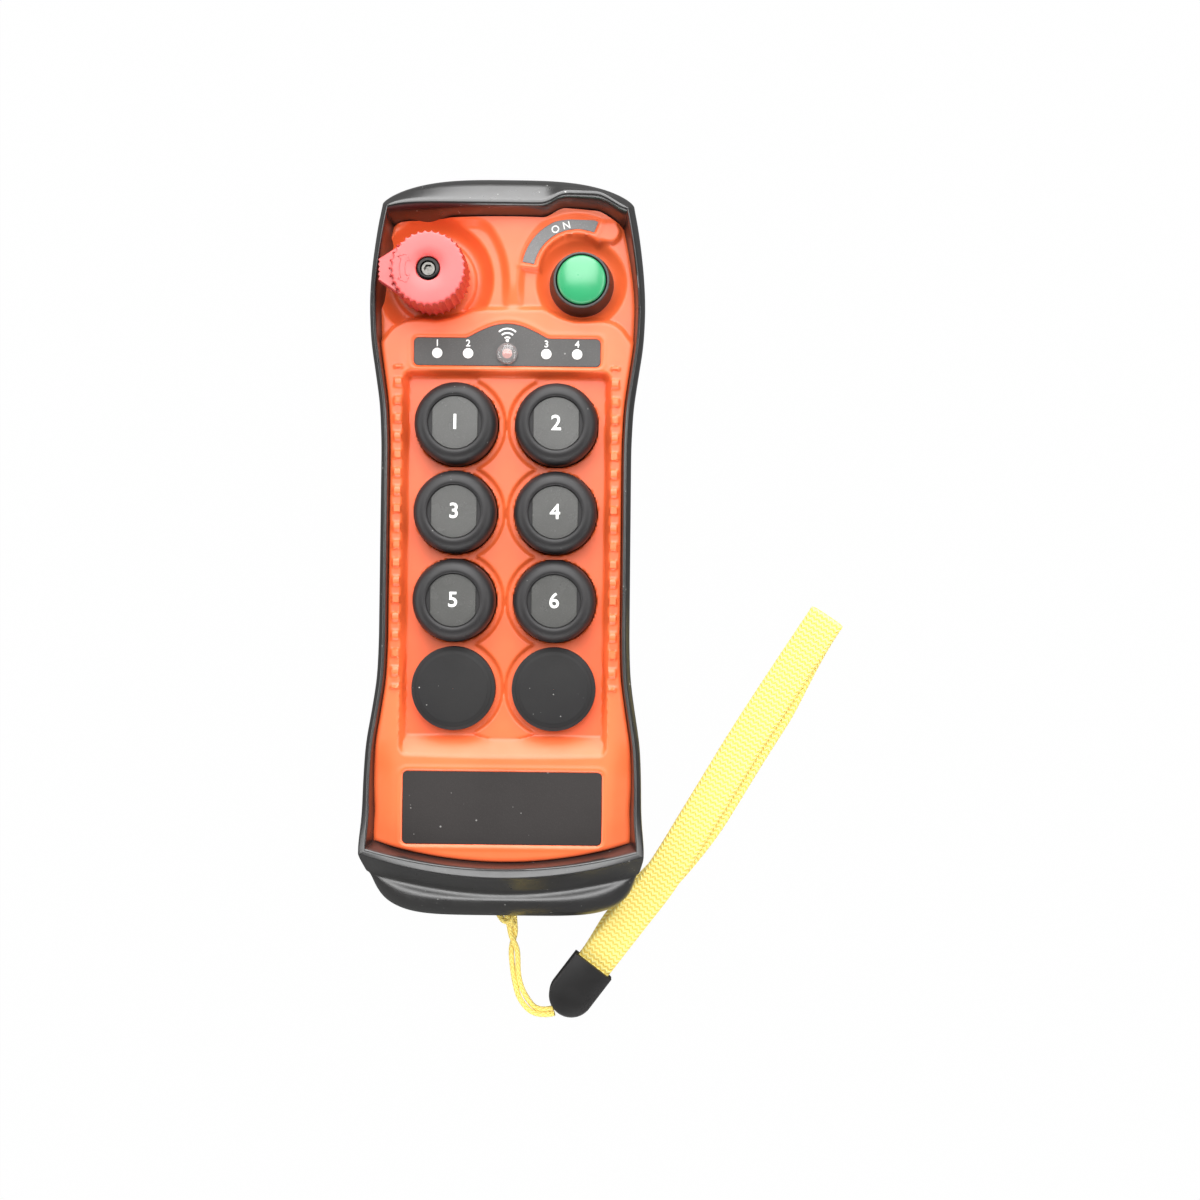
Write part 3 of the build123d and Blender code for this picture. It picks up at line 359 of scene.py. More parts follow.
class Finish(Enum):
    """Every finish on the remote. A finish's slot is the record's material slot."""

    ORANGE = Moulded("orange_shell", linear(250, 110, 58), linear(248, 104, 52), 0.4, specular=0.7)
    RUBBER = Moulded("black_rubber", linear(30, 29, 28), linear(25, 24, 24), 0.3, dust=0.6, specular=1.0)
    BOOT = Moulded("button_rubber", linear(30, 28, 29), linear(25, 24, 25), 0.5, dust=0.3)
    BLANK = Moulded(
        "button_rubber", linear(30, 29, 29), linear(25, 24, 25), 0.6, 2600.0, 0.05, 0.35, 0.8, specular=0.35
    )
    INSERT = Moulded(
        "legend_insert", linear(76, 76, 74), linear(71, 71, 69), 0.26, 4200.0, 0.04, 0.4, speckle=0.3
    )
    BLACK = Moulded("black_plastic", linear(26, 25, 25), linear(22, 21, 21), 0.42)
    CHIP = Moulded("component_black", linear(26, 26, 27), linear(22, 22, 23), 0.5)
    KNOB = Moulded(
        "red_knob", linear(196, 46, 42), linear(188, 40, 36), 0.42, 2600.0, 0.05, 0.4, specular=1.0, coat=0.7
    )
    # Darker red of the painted shade dots where the pointer tab meets the knob
    PIT = Moulded("red_knob", linear(160, 26, 24), linear(150, 22, 20), 0.6)
    GREEN = Moulded(
        "green_cap", linear(50, 158, 104), linear(44, 150, 96), 0.3, 1500.0, 0.03, 0.2, specular=0.9
    )
    GREY = Moulded("grey_ring", linear(70, 70, 69), linear(64, 64, 63), 0.4)
    LABEL = Moulded("label_grey", linear(76, 75, 74), linear(70, 69, 68), 0.55, 3600.0, 0.04, 0.5, 0.4, 0.35)
    ARC = Moulded(
        "label_light_grey", linear(124, 125, 125), linear(116, 117, 117), 0.5, 3600.0, 0.04, 0.5, 0.0, 0.3
    )
    PLATE = Moulded(
        "plate_black", linear(38, 34, 33), linear(34, 30, 29), 0.6, 3600.0, 0.04, 0.45, 0.35, 0.25, 0.4
    )
    WHITE = Moulded("white_window", linear(246, 246, 243), linear(240, 240, 237), 0.35)
    LAMP = Moulded("white_window", linear(220, 150, 140), linear(200, 130, 120), 0.3)
    BOARD = Moulded("board_green", (0.02, 0.16, 0.07), (0.02, 0.13, 0.06), 0.35)
    CELL = Moulded("cell_skin", (0.1, 0.1, 0.11), (0.09, 0.09, 0.1), 0.3)
    SEAL = Moulded("gasket_rubber", (0.06, 0.06, 0.06), (0.05, 0.05, 0.05), 0.6)
    LENS = Clear("clear_lens", (0.98, 0.93, 0.92))
    CORD = Woven("yellow_cord", linear(252, 236, 140), linear(230, 194, 82), 0.7, 0.9, 1.1, 0.1)
    STRAP = Woven("yellow_webbing", linear(253, 240, 152), linear(234, 198, 82), 0.77, 0.62, 0.5, 0.28)
    STEEL = Metal("steel", (0.6, 0.6, 0.6))
    NICKEL = Metal("nickel", (0.66, 0.64, 0.6), 0.25)
    BLACK_STEEL = Metal("black_steel", (0.07, 0.07, 0.07), 0.35)
    BRIGHT = Metal("black_steel", (0.14, 0.135, 0.125), 0.25)
    SCREW = Metal("black_steel", (0.03, 0.029, 0.028), 0.25)
    COPPER = Metal("copper", (0.8, 0.4, 0.22))


class Finishes:
    """Makes each finish's material once and hands it out."""

    def __init__(self) -> None:
        """Start with none made."""
        self.made: dict[Finish, bpy.types.Material] = {}

    def get(self, finish: Finish) -> bpy.types.Material:
        """The material of a finish."""
        if finish not in self.made:
            self.made[finish] = finish.value.build(finish.name.lower())
        return self.made[finish]


def linked(name: str, data: bpy.types.ID) -> bpy.types.Object:
    """Make an object of the given data and link it to the scene."""
    made = bpy.data.objects.new(name, data)
    bpy.context.scene.collection.objects.link(made)
    return made


def baked(source: bpy.types.Object) -> bpy.types.Mesh:
    """A new mesh of an object with its modifiers or its curve settings worked in."""
    view = bpy.context.evaluated_depsgraph_get()
    return bpy.data.meshes.new_from_object(source.evaluated_get(view))


class Bench:
    """Turns points and faces into pieces that ride on the frame's bodies."""

    def __init__(self, finishes: Finishes) -> None:
        """Keep the finishes that every piece draws on."""
        self.finishes = finishes

    def piece(
        self,
        name: str,
        shape: Shape,
        finish: Finish,
        node: str = "",
        crisp: float = 0.0,
        body: str = BODY,
        measure: np.ndarray | None = None,
    ) -> bpy.types.Object:
        """Make a smooth-shaded mesh piece.

        Args:
            name: The piece's name.
            shape: Its points, in millimetres, and the point numbers of each face.
            finish: What it is dressed in.
            node: The CAD node that it stands for, if there is one.
            crisp: Degrees between two faces above which their edge stays sharp, or zero to leave all soft.
            body: The body that it rides on.
            measure: Across and along of each point in millimetres, for woven finishes.

        Returns:
            The new object.
        """
        points, faces = shape
        mesh = bpy.data.meshes.new(name)
        mesh.from_pydata((np.asarray(points, float) * MM).tolist(), [], [list(face) for face in faces])
        mesh.validate()
        mesh.shade_smooth()
        if measure is not None:
            layer = mesh.uv_layers.new(name="measure")
            corners = np.empty(len(mesh.loops), dtype=np.int64)
            mesh.loops.foreach_get("vertex_index", corners)
            layer.data.foreach_set("uv", np.asarray(measure, float)[corners].ravel())
        made = self.place(name, mesh, finish, body)
        if crisp:
            self.sharpen(made, crisp)
        if node:
            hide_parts(node)
        return made

    def place(self, name: str, mesh: bpy.types.Mesh, finish: Finish, body: str) -> bpy.types.Object:
        """Make an object of a mesh, dress it and let it ride on a body."""
        piece = linked(name, mesh)
        mesh.materials.clear()
        mesh.materials.append(self.finishes.get(finish))
        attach(piece, body)
        log.info("made %s", piece.name)
        return piece

    @staticmethod
    def sharpen(piece: bpy.types.Object, degrees: float) -> None:
        """Keep edges crisp where two faces meet at more than an angle."""
        piece.data.set_sharp_from_angle(angle=math.radians(degrees))

    def refine(self, piece: bpy.types.Object, levels: int) -> None:
        """Subdivide a piece smoothly for good."""
        modifier = piece.modifiers.new("subdivision", "SUBSURF")
        modifier.levels = modifier.render_levels = levels
        self.apply(piece)

    def carve(
        self, piece: bpy.types.Object, corners: Sequence[Place], low: float, high: float, crisp: float
    ) -> None:
        """Cut an upright block out of a piece.

        Args:
            piece: What is cut.
            corners: The block's four corners, anticlockwise, in millimetres.
            low, high: The heights between which it cuts.
            crisp: Degrees between two faces of the result above which their edge stays sharp.
        """
        mesh = bpy.data.meshes.new("cutter")
        sides = [(0, 3, 2, 1), (4, 5, 6, 7), (0, 1, 5, 4), (1, 2, 6, 5), (2, 3, 7, 6), (3, 0, 4, 7)]
        mesh.from_pydata([(x * MM, y * MM, z * MM) for z in (low, high) for x, y in corners], [], sides)
        cutter = linked("cutter", mesh)
        modifier = piece.modifiers.new("cut", "BOOLEAN")
        modifier.operation = "DIFFERENCE"
        modifier.solver = "EXACT"
        modifier.object = cutter
        self.apply(piece)
        bpy.data.objects.remove(cutter)
        piece.data.shade_smooth()
        self.sharpen(piece, crisp)

    @staticmethod
    def apply(piece: bpy.types.Object) -> None:
        """Keep the result of a piece's modifiers as its mesh."""
        result = baked(piece)
        piece.modifiers.clear()
        piece.data = result


def sheet_faces(
    rows: int, columns: int, wrap_rows: bool = False, wrap_columns: bool = False
) -> list[list[int]]:
    """Quads that join a grid of points.

    Args:
        rows, columns: The grid's size; points run along a row first.
        wrap_rows: Join the last row to the first.
        wrap_columns: Join the last column to the first.

    Returns:
        Four point numbers to a face.
    """
    row = np.arange(rows if wrap_rows else rows - 1)
    column = np.arange(columns if wrap_columns else columns - 1)
    r, c = np.meshgrid(row, column, indexing="ij")
    after_r, after_c = (r + 1) % rows, (c + 1) % columns
    corners = (r * columns + c, r * columns + after_c, after_r * columns + after_c, after_r * columns + c)
    return np.stack([corner.ravel() for corner in corners], axis=1).tolist()


def skin(rings: Sequence[np.ndarray], foot: bool = True, flip: bool = False) -> Shape:
    """Join closed rings of points into a shape whose ends are closed too.

    Args:
        rings: Rings of equal length, in order.
        foot: Close the first ring as well as the last.
        flip: Turn the end faces over, where the rings run clockwise.

    Returns:
        The points and faces.
    """
    rings = np.asarray(rings, float)
    levels, count = rings.shape[:2]
    ends = [list(range(count))[::-1]] if foot else []
    ends.append(list(range((levels - 1) * count, levels * count)))
    faces = sheet_faces(levels, count, wrap_columns=True)
    return rings.reshape(-1, 3), faces + [end[::-1] if flip else end for end in ends]


def lifted(levels: Iterable[tuple[Sequence[Place], float]]) -> list[np.ndarray]:
    """Rings of flat outlines, each at its own height."""
    return [np.column_stack([outline, np.full(len(outline), z)]) for outline, z in levels]


def ring(centre: Place, radius: np.ndarray | float, z: float, angle: np.ndarray) -> np.ndarray:
    """Points round an upright axis, all at one height."""
    x, y = centre[0] + radius * np.cos(angle), centre[1] + radius * np.sin(angle)
    return np.stack([x, y, z + 0 * angle], axis=-1)


def polar(centre: Place, radius: float, angles: Iterable[float]) -> list[Place]:
    """Places on a circle, at each of the angles in radians."""
    return [(centre[0] + radius * math.cos(angle), centre[1] + radius * math.sin(angle)) for angle in angles]


def turned(profile: Sequence[Place], centre: Place, sides: int = 96) -> Shape:
    """Turn a profile about an upright axis.

    Args:
        profile: Radius and height pairs, from the inside of the foot, round the outside, to the top.
        centre: Where the axis stands.
        sides: Facets round the axis.

    Returns:
        The points and faces.
    """
    angle = np.linspace(0, 2 * math.pi, sides, endpoint=False)
    points = np.concatenate([ring(centre, radius, z, angle) for radius, z in profile])
    return points, sheet_faces(len(profile), sides, wrap_columns=True)


def rounded(corners: Sequence[Place], radii: Sequence[float], steps: int = 6) -> list[Place]:
    """Round the inner corners of an open profile.

    Args:
        corners: The profile's corners.
        radii: How far each inner corner's rounding reaches along its two runs.
        steps: Points on each rounding.

    Returns:
        The profile with a curve in place of each rounded corner.
    """
    profile = [corners[0]]
    for before, corner, after, reach in zip(corners, corners[1:], corners[2:], radii):
        before, corner, after = (np.array(place, float) for place in (before, corner, after))
        start = corner + (before - corner) * min(1.0, reach / np.linalg.norm(before - corner))
        end = corner + (after - corner) * min(1.0, reach / np.linalg.norm(after - corner))
        for step in np.linspace(0, 1, steps):
            profile.append(tuple((1 - step) ** 2 * start + 2 * step * (1 - step) * corner + step**2 * end))
    return [*profile, corners[-1]]


def unit(rows: np.ndarray) -> np.ndarray:
    """Each row at length one."""
    return rows / np.maximum(np.linalg.norm(rows, axis=1, keepdims=True), 1e-6)


def directions(path: np.ndarray) -> np.ndarray:
    """Which way a path runs at each of its points."""
    return unit(np.gradient(path, axis=0))


def beside(path: np.ndarray) -> tuple[np.ndarray, np.ndarray]:
    """The level direction to the right of a path at each point, and the one over it."""
    run = directions(path)
    right = unit(np.cross(run, (0, 0, 1.0)))
    return right, np.cross(right, run)


def travelled(path: np.ndarray) -> np.ndarray:
    """Length along a path up to each of its points."""
    return np.concatenate([[0], np.cumsum(np.linalg.norm(np.diff(path, axis=0), axis=1))])


def step_up(values: np.ndarray, low: float, high: float) -> np.ndarray:
    """Smooth step from zero at low to one at high."""
    share = np.clip((values - low) / (high - low), 0.0, 1.0)
    return share * share * (3 - 2 * share)


def soft_least(first: np.ndarray, second: np.ndarray, reach: float) -> np.ndarray:
    """The lower of two surfaces, blended where they come within reach of each other."""
    share = np.clip(0.5 + 0.5 * (second - first) / reach, 0.0, 1.0)
    return second + (first - second) * share - reach * share * (1 - share)


def soft_most(first: np.ndarray, second: np.ndarray, reach: float) -> np.ndarray:
    """The higher of two surfaces, blended where they come within reach of each other."""
    return -soft_least(-first, -second, reach)


def slab(x: np.ndarray, y: np.ndarray, half_x: float, half_y: float, corner: float) -> np.ndarray:
    """Distance outside a rounded rectangle about the origin, negative inside."""
    over_x, over_y = np.abs(x) - half_x + corner, np.abs(y) - half_y + corner
    outside = np.hypot(np.maximum(over_x, 0), np.maximum(over_y, 0))
    return outside + np.minimum(np.maximum(over_x, over_y), 0) - corner


def side_half(y: np.ndarray | float) -> np.ndarray:
    """Half the remote's width at its widest line, eased between the measured places."""
    spread = np.linspace(-3.0, 3.0, 7)
    places, halves = zip(*SIDE)
    return sum(np.interp(np.asarray(y, float) + shift, places, halves) for shift in spread) / len(spread)


@dataclass(frozen=True)
class Rail:
    """One line of the bumper's section, carried right round the remote.

    The side has its inset from the widest line and its height. Each end has its inset, where its corners
    and its middle lie, and its height, and its bow says how it curves between them.
    """

    side: tuple[float, float]
    head: End
    foot: End
    head_bow: tuple[float, float] = (3.2, 0.7)
    foot_bow: tuple[float, float] = (2.0, 1.0)
    bay: float = 0.0

    def inset(self, y: np.ndarray) -> np.ndarray:
        """How far the rail lies inside the widest line at each place along the side."""
        side, to_head, to_foot = self.side[0], step_up(y, *INSET_TO_HEAD), step_up(-y, *INSET_TO_FOOT)
        return side + (self.head[0] - side) * to_head + (self.foot[0] - side) * to_foot

    def height(self, y: np.ndarray) -> np.ndarray:
        """Height of the rail at each place along the side."""
        side, to_head, to_foot = self.side[1], step_up(y, *RISE_TO_HEAD), step_up(-y, *RISE_TO_FOOT)
        return side + (self.head[3] - side) * to_head + (self.foot[3] - side) * to_foot

    def half(self, y: np.ndarray | float) -> np.ndarray:
        """Half the rail's width at each place along the side."""
        return side_half(y) - self.inset(np.asarray(y, float))

    def end_y(self, x: np.ndarray, end: End, bow: tuple[float, float]) -> np.ndarray:
        """Where the rail runs across one end of the remote."""
        share = np.clip(np.abs(x) / self.half(end[1]), 0, 1)
        return end[1] + (end[2] - end[1]) * (1 - share ** bow[0]) ** bow[1]

    def head_y(self, x: np.ndarray) -> np.ndarray:
        """Where the rail runs across the head end, with the bay round the start label."""
        bay = self.bay * step_up(x, BAY[0], BAY[1]) * step_up(-x, -BAY[3], -BAY[2])
        return self.end_y(x, self.head, self.head_bow) + bay

    def foot_y(self, x: np.ndarray) -> np.ndarray:
        """Where the rail runs across the foot end."""
        return self.end_y(x, self.foot, self.foot_bow)

    def loop(self, along: int = 90, across: int = 72) -> np.ndarray:
        """Points of the rail, once round from the right foot corner."""
        side = np.linspace(self.foot[1], self.head[1], along)
        turn = np.cos(np.linspace(0, math.pi, across))[1:-1]
        head_x, foot_x = self.half(self.head[1]) * turn, -self.half(self.foot[1]) * turn
        x = np.concatenate([self.half(side), head_x, -self.half(side[::-1]), foot_x])
        y = np.concatenate([side, self.head_y(head_x), side[::-1], self.foot_y(foot_x)])
        z = np.concatenate([
            self.height(side), np.full(len(head_x), self.head[3]), self.height(side[::-1]),
            np.full(len(foot_x), self.foot[3]),
        ])
        return np.stack([x, y, z], axis=-1)


@dataclass(frozen=True)
class Bumper:
    """Black rubber bumper that wraps the seam and both ends and stands proud of the face as a rim."""

    inner_wall: Rail = Rail(
        (2.4, 36.8), (3.1, 82.3, 84.2, 36.6), (3.25, -74.2, -79.3, 36.4), (2.0, 1.0), bay=2.7
    )
    notch_half: float = 7.5
    notch_foot: float = 3.0
    notch_top: float = 11.9
    notch_back: float = -81.5
    outside: float = -110.0

    def rails(self) -> tuple[Rail, ...]:
        """Lay out the section, from the bottom edge, up the outside, over the rim and down inside."""
        heel = (5.2, 0.42)
        straight = (8, 0.8)
        return (
            Rail((2.5, 4.0), (3.4, 82.0, 88.4, 4.0), (3.6, -79.0, -84.0, 4.0), (6, 0.6), (6, 0.6)),
            Rail((1.2, 4.0), (1.4, 85.2, 91.2, 4.0), (2.2, -80.5, -92.4, 4.0), foot_bow=heel),
            Rail((0.8, 5.2), (0.9, 85.8, 92.2, 5.4), (1.8, -81.2, -94.0, 5.4), foot_bow=heel),
            Rail((0.35, 12.0), (0.4, 86.4, 93.5, 13.0), (1.2, -82.0, -95.9, 12.0), foot_bow=heel),
            Rail((0.15, 18.0), (0.2, 86.7, 94.0, 20.0), (0.8, -82.3, -96.2, 17.6), foot_bow=heel),
            Rail((0.1, 23.0), (0.1, 86.8, 94.2, 25.0), (0.6, -82.5, -95.7, 21.8), foot_bow=heel),
            Rail((0.05, 26.4), (0.0, 86.8, 94.3, 29.0), (0.5, -82.7, -93.6, 26.2), foot_bow=(4.4, 0.52)),
            Rail((0.05, 28.4), (0.0, 86.8, 94.3, 31.0), (0.3, -82.9, -91.0, 29.4), foot_bow=(3.2, 0.74)),
            Rail((0.05, 29.0), (0.0, 86.8, 94.3, 32.0), (0.15, -83.0, -90.0, 30.1), foot_bow=(2.5, 0.9)),
            Rail((0.0, 29.4), (0.0, 86.8, 94.3, 32.6), (0.1, -83.0, -89.4, 30.25), foot_bow=(2.3, 0.95)),
            Rail((0.0, 30.6), (0.0, 86.8, 94.2, 34.0), (0.0, -82.7, -88.3, 30.9)),
            Rail((0.0, 31.6), (0.0, 86.8, 94.15, 34.6), (-0.05, -82.2, -87.8, 31.7)),
            Rail((0.0, 35.4), (0.05, 86.7, 93.4, 37.6), (0.0, -78.8, -84.4, 38.0)),
            Rail((0.15, 37.6), (0.2, 86.5, 92.6, 39.8), (0.05, -77.4, -83.0, 40.6)),
            Rail((0.25, 38.2), (0.45, 86.2, 91.5, 41.6), (0.1, -77.2, -83.0, 41.2)),
            Rail((0.35, 38.4), (0.55, 86.15, 91.3, 41.75), (0.25, -77.1, -82.8, 41.4)),
            Rail((1.15, 39.9), (1.8, 85.3, 87.3, 44.7), (1.65, -76.3, -81.0, 42.3), straight, bay=2.5),
            Rail((1.35, 40.1), (2.0, 85.1, 86.6, 45.0), (1.85, -76.1, -80.75, 42.45), straight, bay=2.5),
            Rail((1.95, 40.15), (2.4, 84.6, 85.8, 44.9), (2.05, -75.8, -80.5, 42.35), straight, bay=2.4),
            Rail((2.1, 39.9), (2.7, 83.7, 85.0, 43.6), (2.4, -75.4, -80.2, 41.6), (4.0, 0.9), bay=2.5),
            self.inner_wall,
            Rail((3.4, 35.6), (4.6, 81.2, 82.9, 35.4), (5.1, -73.3, -78.2, 35.2), (3.0, 1.0), bay=2.0),
            Rail((3.4, 30.0), (4.6, 81.2, 82.9, 30.0), (5.1, -73.3, -78.2, 30.0), straight, bay=2.0),
            Rail((2.6, 27.0), (3.4, 82.2, 88.4, 27.0), (3.0, -73.6, -82.0, 27.0), straight, (6, 0.6)),
        )

    def build(self, bench: Bench) -> None:
        """Make the bumper and cut the notch for the lanyard."""
        loops = [rail.loop() for rail in self.rails()]
        shape = np.concatenate(loops), sheet_faces(len(loops), len(loops[0]), True, True)
        bumper = bench.piece("bumper", shape, Finish.RUBBER, "rubber_bumper")
        bench.refine(bumper, 1)
        half, front, back = self.notch_half, self.outside, self.notch_back
        corners = ((-half, front), (half, front), (half, back), (-half, back))
        bench.carve(bumper, corners, self.notch_foot, self.notch_top, 34)


@dataclass(frozen=True)
class StartArc:
    """The raised ledge over the start button and the band of its label."""

    centre: Place = (17.4, 70.15)
    label_inner: float = 11.0
    label_outer: float = 14.05
    label_from: float = 67.5
    label_to: float = 169.5
    ledge_inner: float = 9.6
    ledge_outer: float = 15.7
    ledge_from: float = 57.0
    ledge_to: float = 176.0
    nose: Place = (25.6, 80.5)
    nose_radius: float = 2.6

    def band(
        self, x: np.ndarray, y: np.ndarray, inner: float, outer: float, start: float, end: float
    ) -> np.ndarray:
        """Distance outside a band of a ring between two angles, negative inside."""
        along_x, along_y = x - self.centre[0], y - self.centre[1]
        middle, half = math.radians((start + end) / 2), math.radians((end - start) / 2)
        angle = np.arctan2(along_y, along_x) - middle
        angle = np.abs((angle + math.pi) % (2 * math.pi) - math.pi)
        radius = np.hypot(along_x, along_y)
        return np.maximum(np.abs(radius - (inner + outer) / 2) - (outer - inner) / 2, (angle - half) * radius)


    def ledge(self, x: np.ndarray, y: np.ndarray) -> np.ndarray:
        """Distance outside the ledge, whose right end narrows to a nose toward the rim."""
        band = self.band(x, y, self.ledge_inner, self.ledge_outer, self.ledge_from, self.ledge_to)
        nose = np.hypot(x - self.nose[0], y - self.nose[1]) - self.nose_radius
        return soft_least(band, nose, self.nose_radius)

    def label(self, x: np.ndarray, y: np.ndarray, gap: float) -> np.ndarray:
        """Distance outside the label's recess."""
        return self.band(x, y, self.label_inner, self.label_outer, self.label_from, self.label_to) - gap


@dataclass(frozen=True)
class Face:
    """The orange moulded face, one smooth surface with its basins, ledge, ridge, pocket and recesses."""

    wall: Rail
    arc: StartArc
    shelf: float = 36.8
    pocket_floor: float = 34.4
    pocket_head: float = 45.0
    pocket_foot: float = 53.1
    pocket_half: float = 26.35
    web: float = 35.2
    ridge_x: float = 1.3
    block_middle: float = 5.4
    block_pitch: float = 4.57
    block_offset: float = 2.3
    block_count: int = 9
    skirt_z: float = 20.05
    cell: float = 0.4
    edge_gap: float = 0.12

    def plateau_edge(self, x: np.ndarray) -> np.ndarray:
        """Where the raised deck of the keypad ends toward the head."""
        places, edges = zip(
            (-40.0, 50.0), (-31.5, 52.0), (-29.5, 55.0), (-26.0, 57.4), (-22.0, 58.1), (-18.0, 57.6),
            (-13.5, 58.6), (-9.0, 60.3), (9.5, 60.6), (13.5, 58.6), (17.0, 57.7), (23.5, 57.8), (27.0, 57.0),
            (29.5, 55.2), (31.0, 52.4), (40.0, 50.0),
        )
        spread = np.linspace(-0.9, 0.9, 5)
        return sum(np.interp(x + shift, places, edges) for shift in spread) / len(spread)

    def head(self, x: np.ndarray, y: np.ndarray) -> np.ndarray:
        """Height of the sunk head end: shelf, ridge, basins and the start ledge."""
        crown = self.shelf + 0.3 + 1.5 * step_up(y, 57.5, 68.0)
        ridge_half = 1.4 + 4.9 * np.clip((y - 66.0) / 15.7, 0, 1.3) ** 2.4
        raised = soft_least(np.abs(x - self.ridge_x) - ridge_half, 82.9 - y, 2.5)
        height = self.shelf + (crown - self.shelf) * (1 - step_up(raised, -0.9, 1.7))
        wall = 3.6
        for (centre_x, centre_y), radius, floor in ((STOP, 15.1, 33.4), (START, 11.4, 34.3)):
            out = np.hypot(x - centre_x, y - centre_y)
            climb = np.clip((out - radius + wall) / wall, 0, 3)
            height = soft_least(height, floor + (self.shelf - floor) * climb**2, 0.5)
        step = np.hypot(x - STOP[0], y - STOP[1]) - 10.7
        height = height + 0.8 * (1 - step_up(step, -0.35, 0.1))
        ledge = 38.25 - 6.0 * step_up(self.arc.ledge(x, y), -0.35, 1.9)
        return soft_most(height, ledge, 0.5)

    def keypad(self, x: np.ndarray, y: np.ndarray) -> np.ndarray:
        """Height of the pocket with its ramp, middle web and button cups."""
        ramp_head, ramp_foot = -47.5, -53.3 + 0.5 * (x / 25.3) ** 2
        climb = np.clip((ramp_head - y) / (ramp_head - ramp_foot), 0, 1)
        floor = self.pocket_floor + (DECK - self.pocket_floor + 0.5) * climb
        away = [np.hypot(np.abs(x) - COLUMN, y - row) for row in ROWS]
        web = np.maximum.reduce([12.2 - np.minimum.reduce(away), np.abs(x) - 7.5, x**2 / 31.6 - 48.9 - y])
        raised = self.web - (self.web - self.pocket_floor + 0.4) * step_up(web, -0.4, 0.25)
        height = soft_most(floor, raised, 0.25)
        cups = np.minimum.reduce(away[:3]) - 10.55
        height = height - 6.0 * (1 - step_up(cups, -0.4, 0.1))
        middle, half = (self.pocket_head - self.pocket_foot) / 2, (self.pocket_head + self.pocket_foot) / 2
        pocket = slab(x, y - middle, self.pocket_half, half, 2.4 + 1.4 * step_up(-y, 30, 40))
        wall = DECK + 3.1 * np.clip(pocket, -2.5, 1.5)
        return soft_most(height, wall, 0.3)

    def height(self, x: np.ndarray, y: np.ndarray, edge: np.ndarray) -> np.ndarray:
        """Height of the whole face.

        Args:
            x, y: Places in millimetres.
            edge: Distance of each place inside the face's outline.

        Returns:
            Heights in millimetres.
        """
        on_shelf = step_up(y - self.plateau_edge(x), -0.5, 1.5)
        crown = DECK - 1.0 * step_up(np.abs(x), 26.0, 33.0) * step_up(-y, 48.0, 58.0)
        height = crown + (self.head(x, y) - crown) * on_shelf
        height = soft_least(height, self.keypad(x, y), 0.35)
        height = height + 0.85 * self.blocks(x, y)
        hump = 3.7 * np.clip(1 - (x / 10.6) ** 2, 0, 1) ** 1.3
        status = slab(x, (y - 46.3) - (7.0 + hump) / 2, 23.75, (7.3 + hump) / 2, 1.3)
        plate = slab(x, y - PLATE_Y, 25.3, 9.3, 1.3)
        label = self.arc.label(x, y, 0.12)
        for recess, depth in ((status, 0.75), (plate, 0.65), (label, 0.6)):
            height = height - depth * (1 - step_up(recess, -0.25, 0.3))
            height = height + 0.12 * (1 - step_up(np.abs(recess - 0.9), 0.0, 0.8))
        return height - 0.45 * (1 - step_up(edge, -0.2, 0.8))

    def blocks(self, x: np.ndarray, y: np.ndarray) -> np.ndarray:
        """One on the small grip blocks down both sides of the keypad, easing to zero off them."""
        past, reach = y - self.block_middle, self.block_count * self.block_pitch
        block = np.abs((past + self.block_offset + reach) % self.block_pitch - self.block_offset)
        in_strip = (np.abs(past) < reach).astype(float)
        return in_strip * (1 - step_up(slab(np.abs(x) - 27.4, block, 1.1, 1.12, 0.2), -0.3, 0.1))

    def outline(self) -> tuple[np.ndarray, np.ndarray, np.ndarray]:
        """Places of the surface's grid and how far each lies inside its edge."""
        rows, columns = int(163 / self.cell), int(62 / self.cell)
        v = np.linspace(-79.2, 83.9, rows)
        half = self.wall.half(v) - self.edge_gap
        half = half - 1.2 * np.clip((v - 82.2) / 1.7, 0, 1) ** 3
        x = np.linspace(-1, 1, columns)[None, :] * half[:, None]
        rest = v[:, None] + 0 * x
        head_y, foot_y = self.wall.head_y(x) - self.edge_gap, self.wall.foot_y(x) + self.edge_gap
        y = rest + (head_y - v[-1]) * step_up(rest, 76.0, v[-1])
        y = y + (foot_y - v[0]) * step_up(-rest, 60.0, -v[0])
        return x, y, np.minimum(half[:, None] - np.abs(x), np.minimum(head_y - y + 1.0, y - foot_y))

    def build(self, bench: Bench) -> None:
        """Make the face with its holes and its turned-down edge."""
        x, y, edge = self.outline()
        grid = np.stack([x, y, self.height(x, y, edge)], axis=-1).reshape(-1, 3)
        faces = np.array(sheet_faces(*x.shape))
        middle = grid[faces].mean(axis=1)
        keep = np.ones(len(faces), bool)
        holes = [(*STOP, 6.4), (*START, 7.6), (0.0, LAMP_Y, 2.9)]
        holes += [(place, LAMP_Y, 1.5) for place in WINDOWS]
        holes += [(side * COLUMN, row, 2.6) for side in (-1, 1) for row in ROWS[:3]]
        for hole_x, hole_y, radius in holes:
            keep &= np.hypot(middle[:, 0] - hole_x, middle[:, 1] - hole_y) > radius
        number = np.arange(x.size).reshape(x.shape)
        border = np.concatenate([number[0, :-1], number[:-1, -1], number[-1, :0:-1], number[:0:-1, 0]])
        points, bands = [grid], [border]
        for drop, inward in ((35.6, 0.0), (self.skirt_z, 0.0), (self.skirt_z, 1.6)):
            skirt = grid[border].copy()
            skirt[:, 2] = drop
            skirt[:, :2] *= 1 - inward / 40
            bands.append(sum(len(part) for part in points) + np.arange(len(border)))
            points.append(skirt)
        around = []
        for upper, lower in zip(bands, bands[1:]):
            around += np.stack([upper, lower, np.roll(lower, -1), np.roll(upper, -1)], axis=1).tolist()
        shape = np.concatenate(points), faces[keep].tolist() + around
        bench.piece("front_face", shape, Finish.ORANGE, "front_housing", 60)


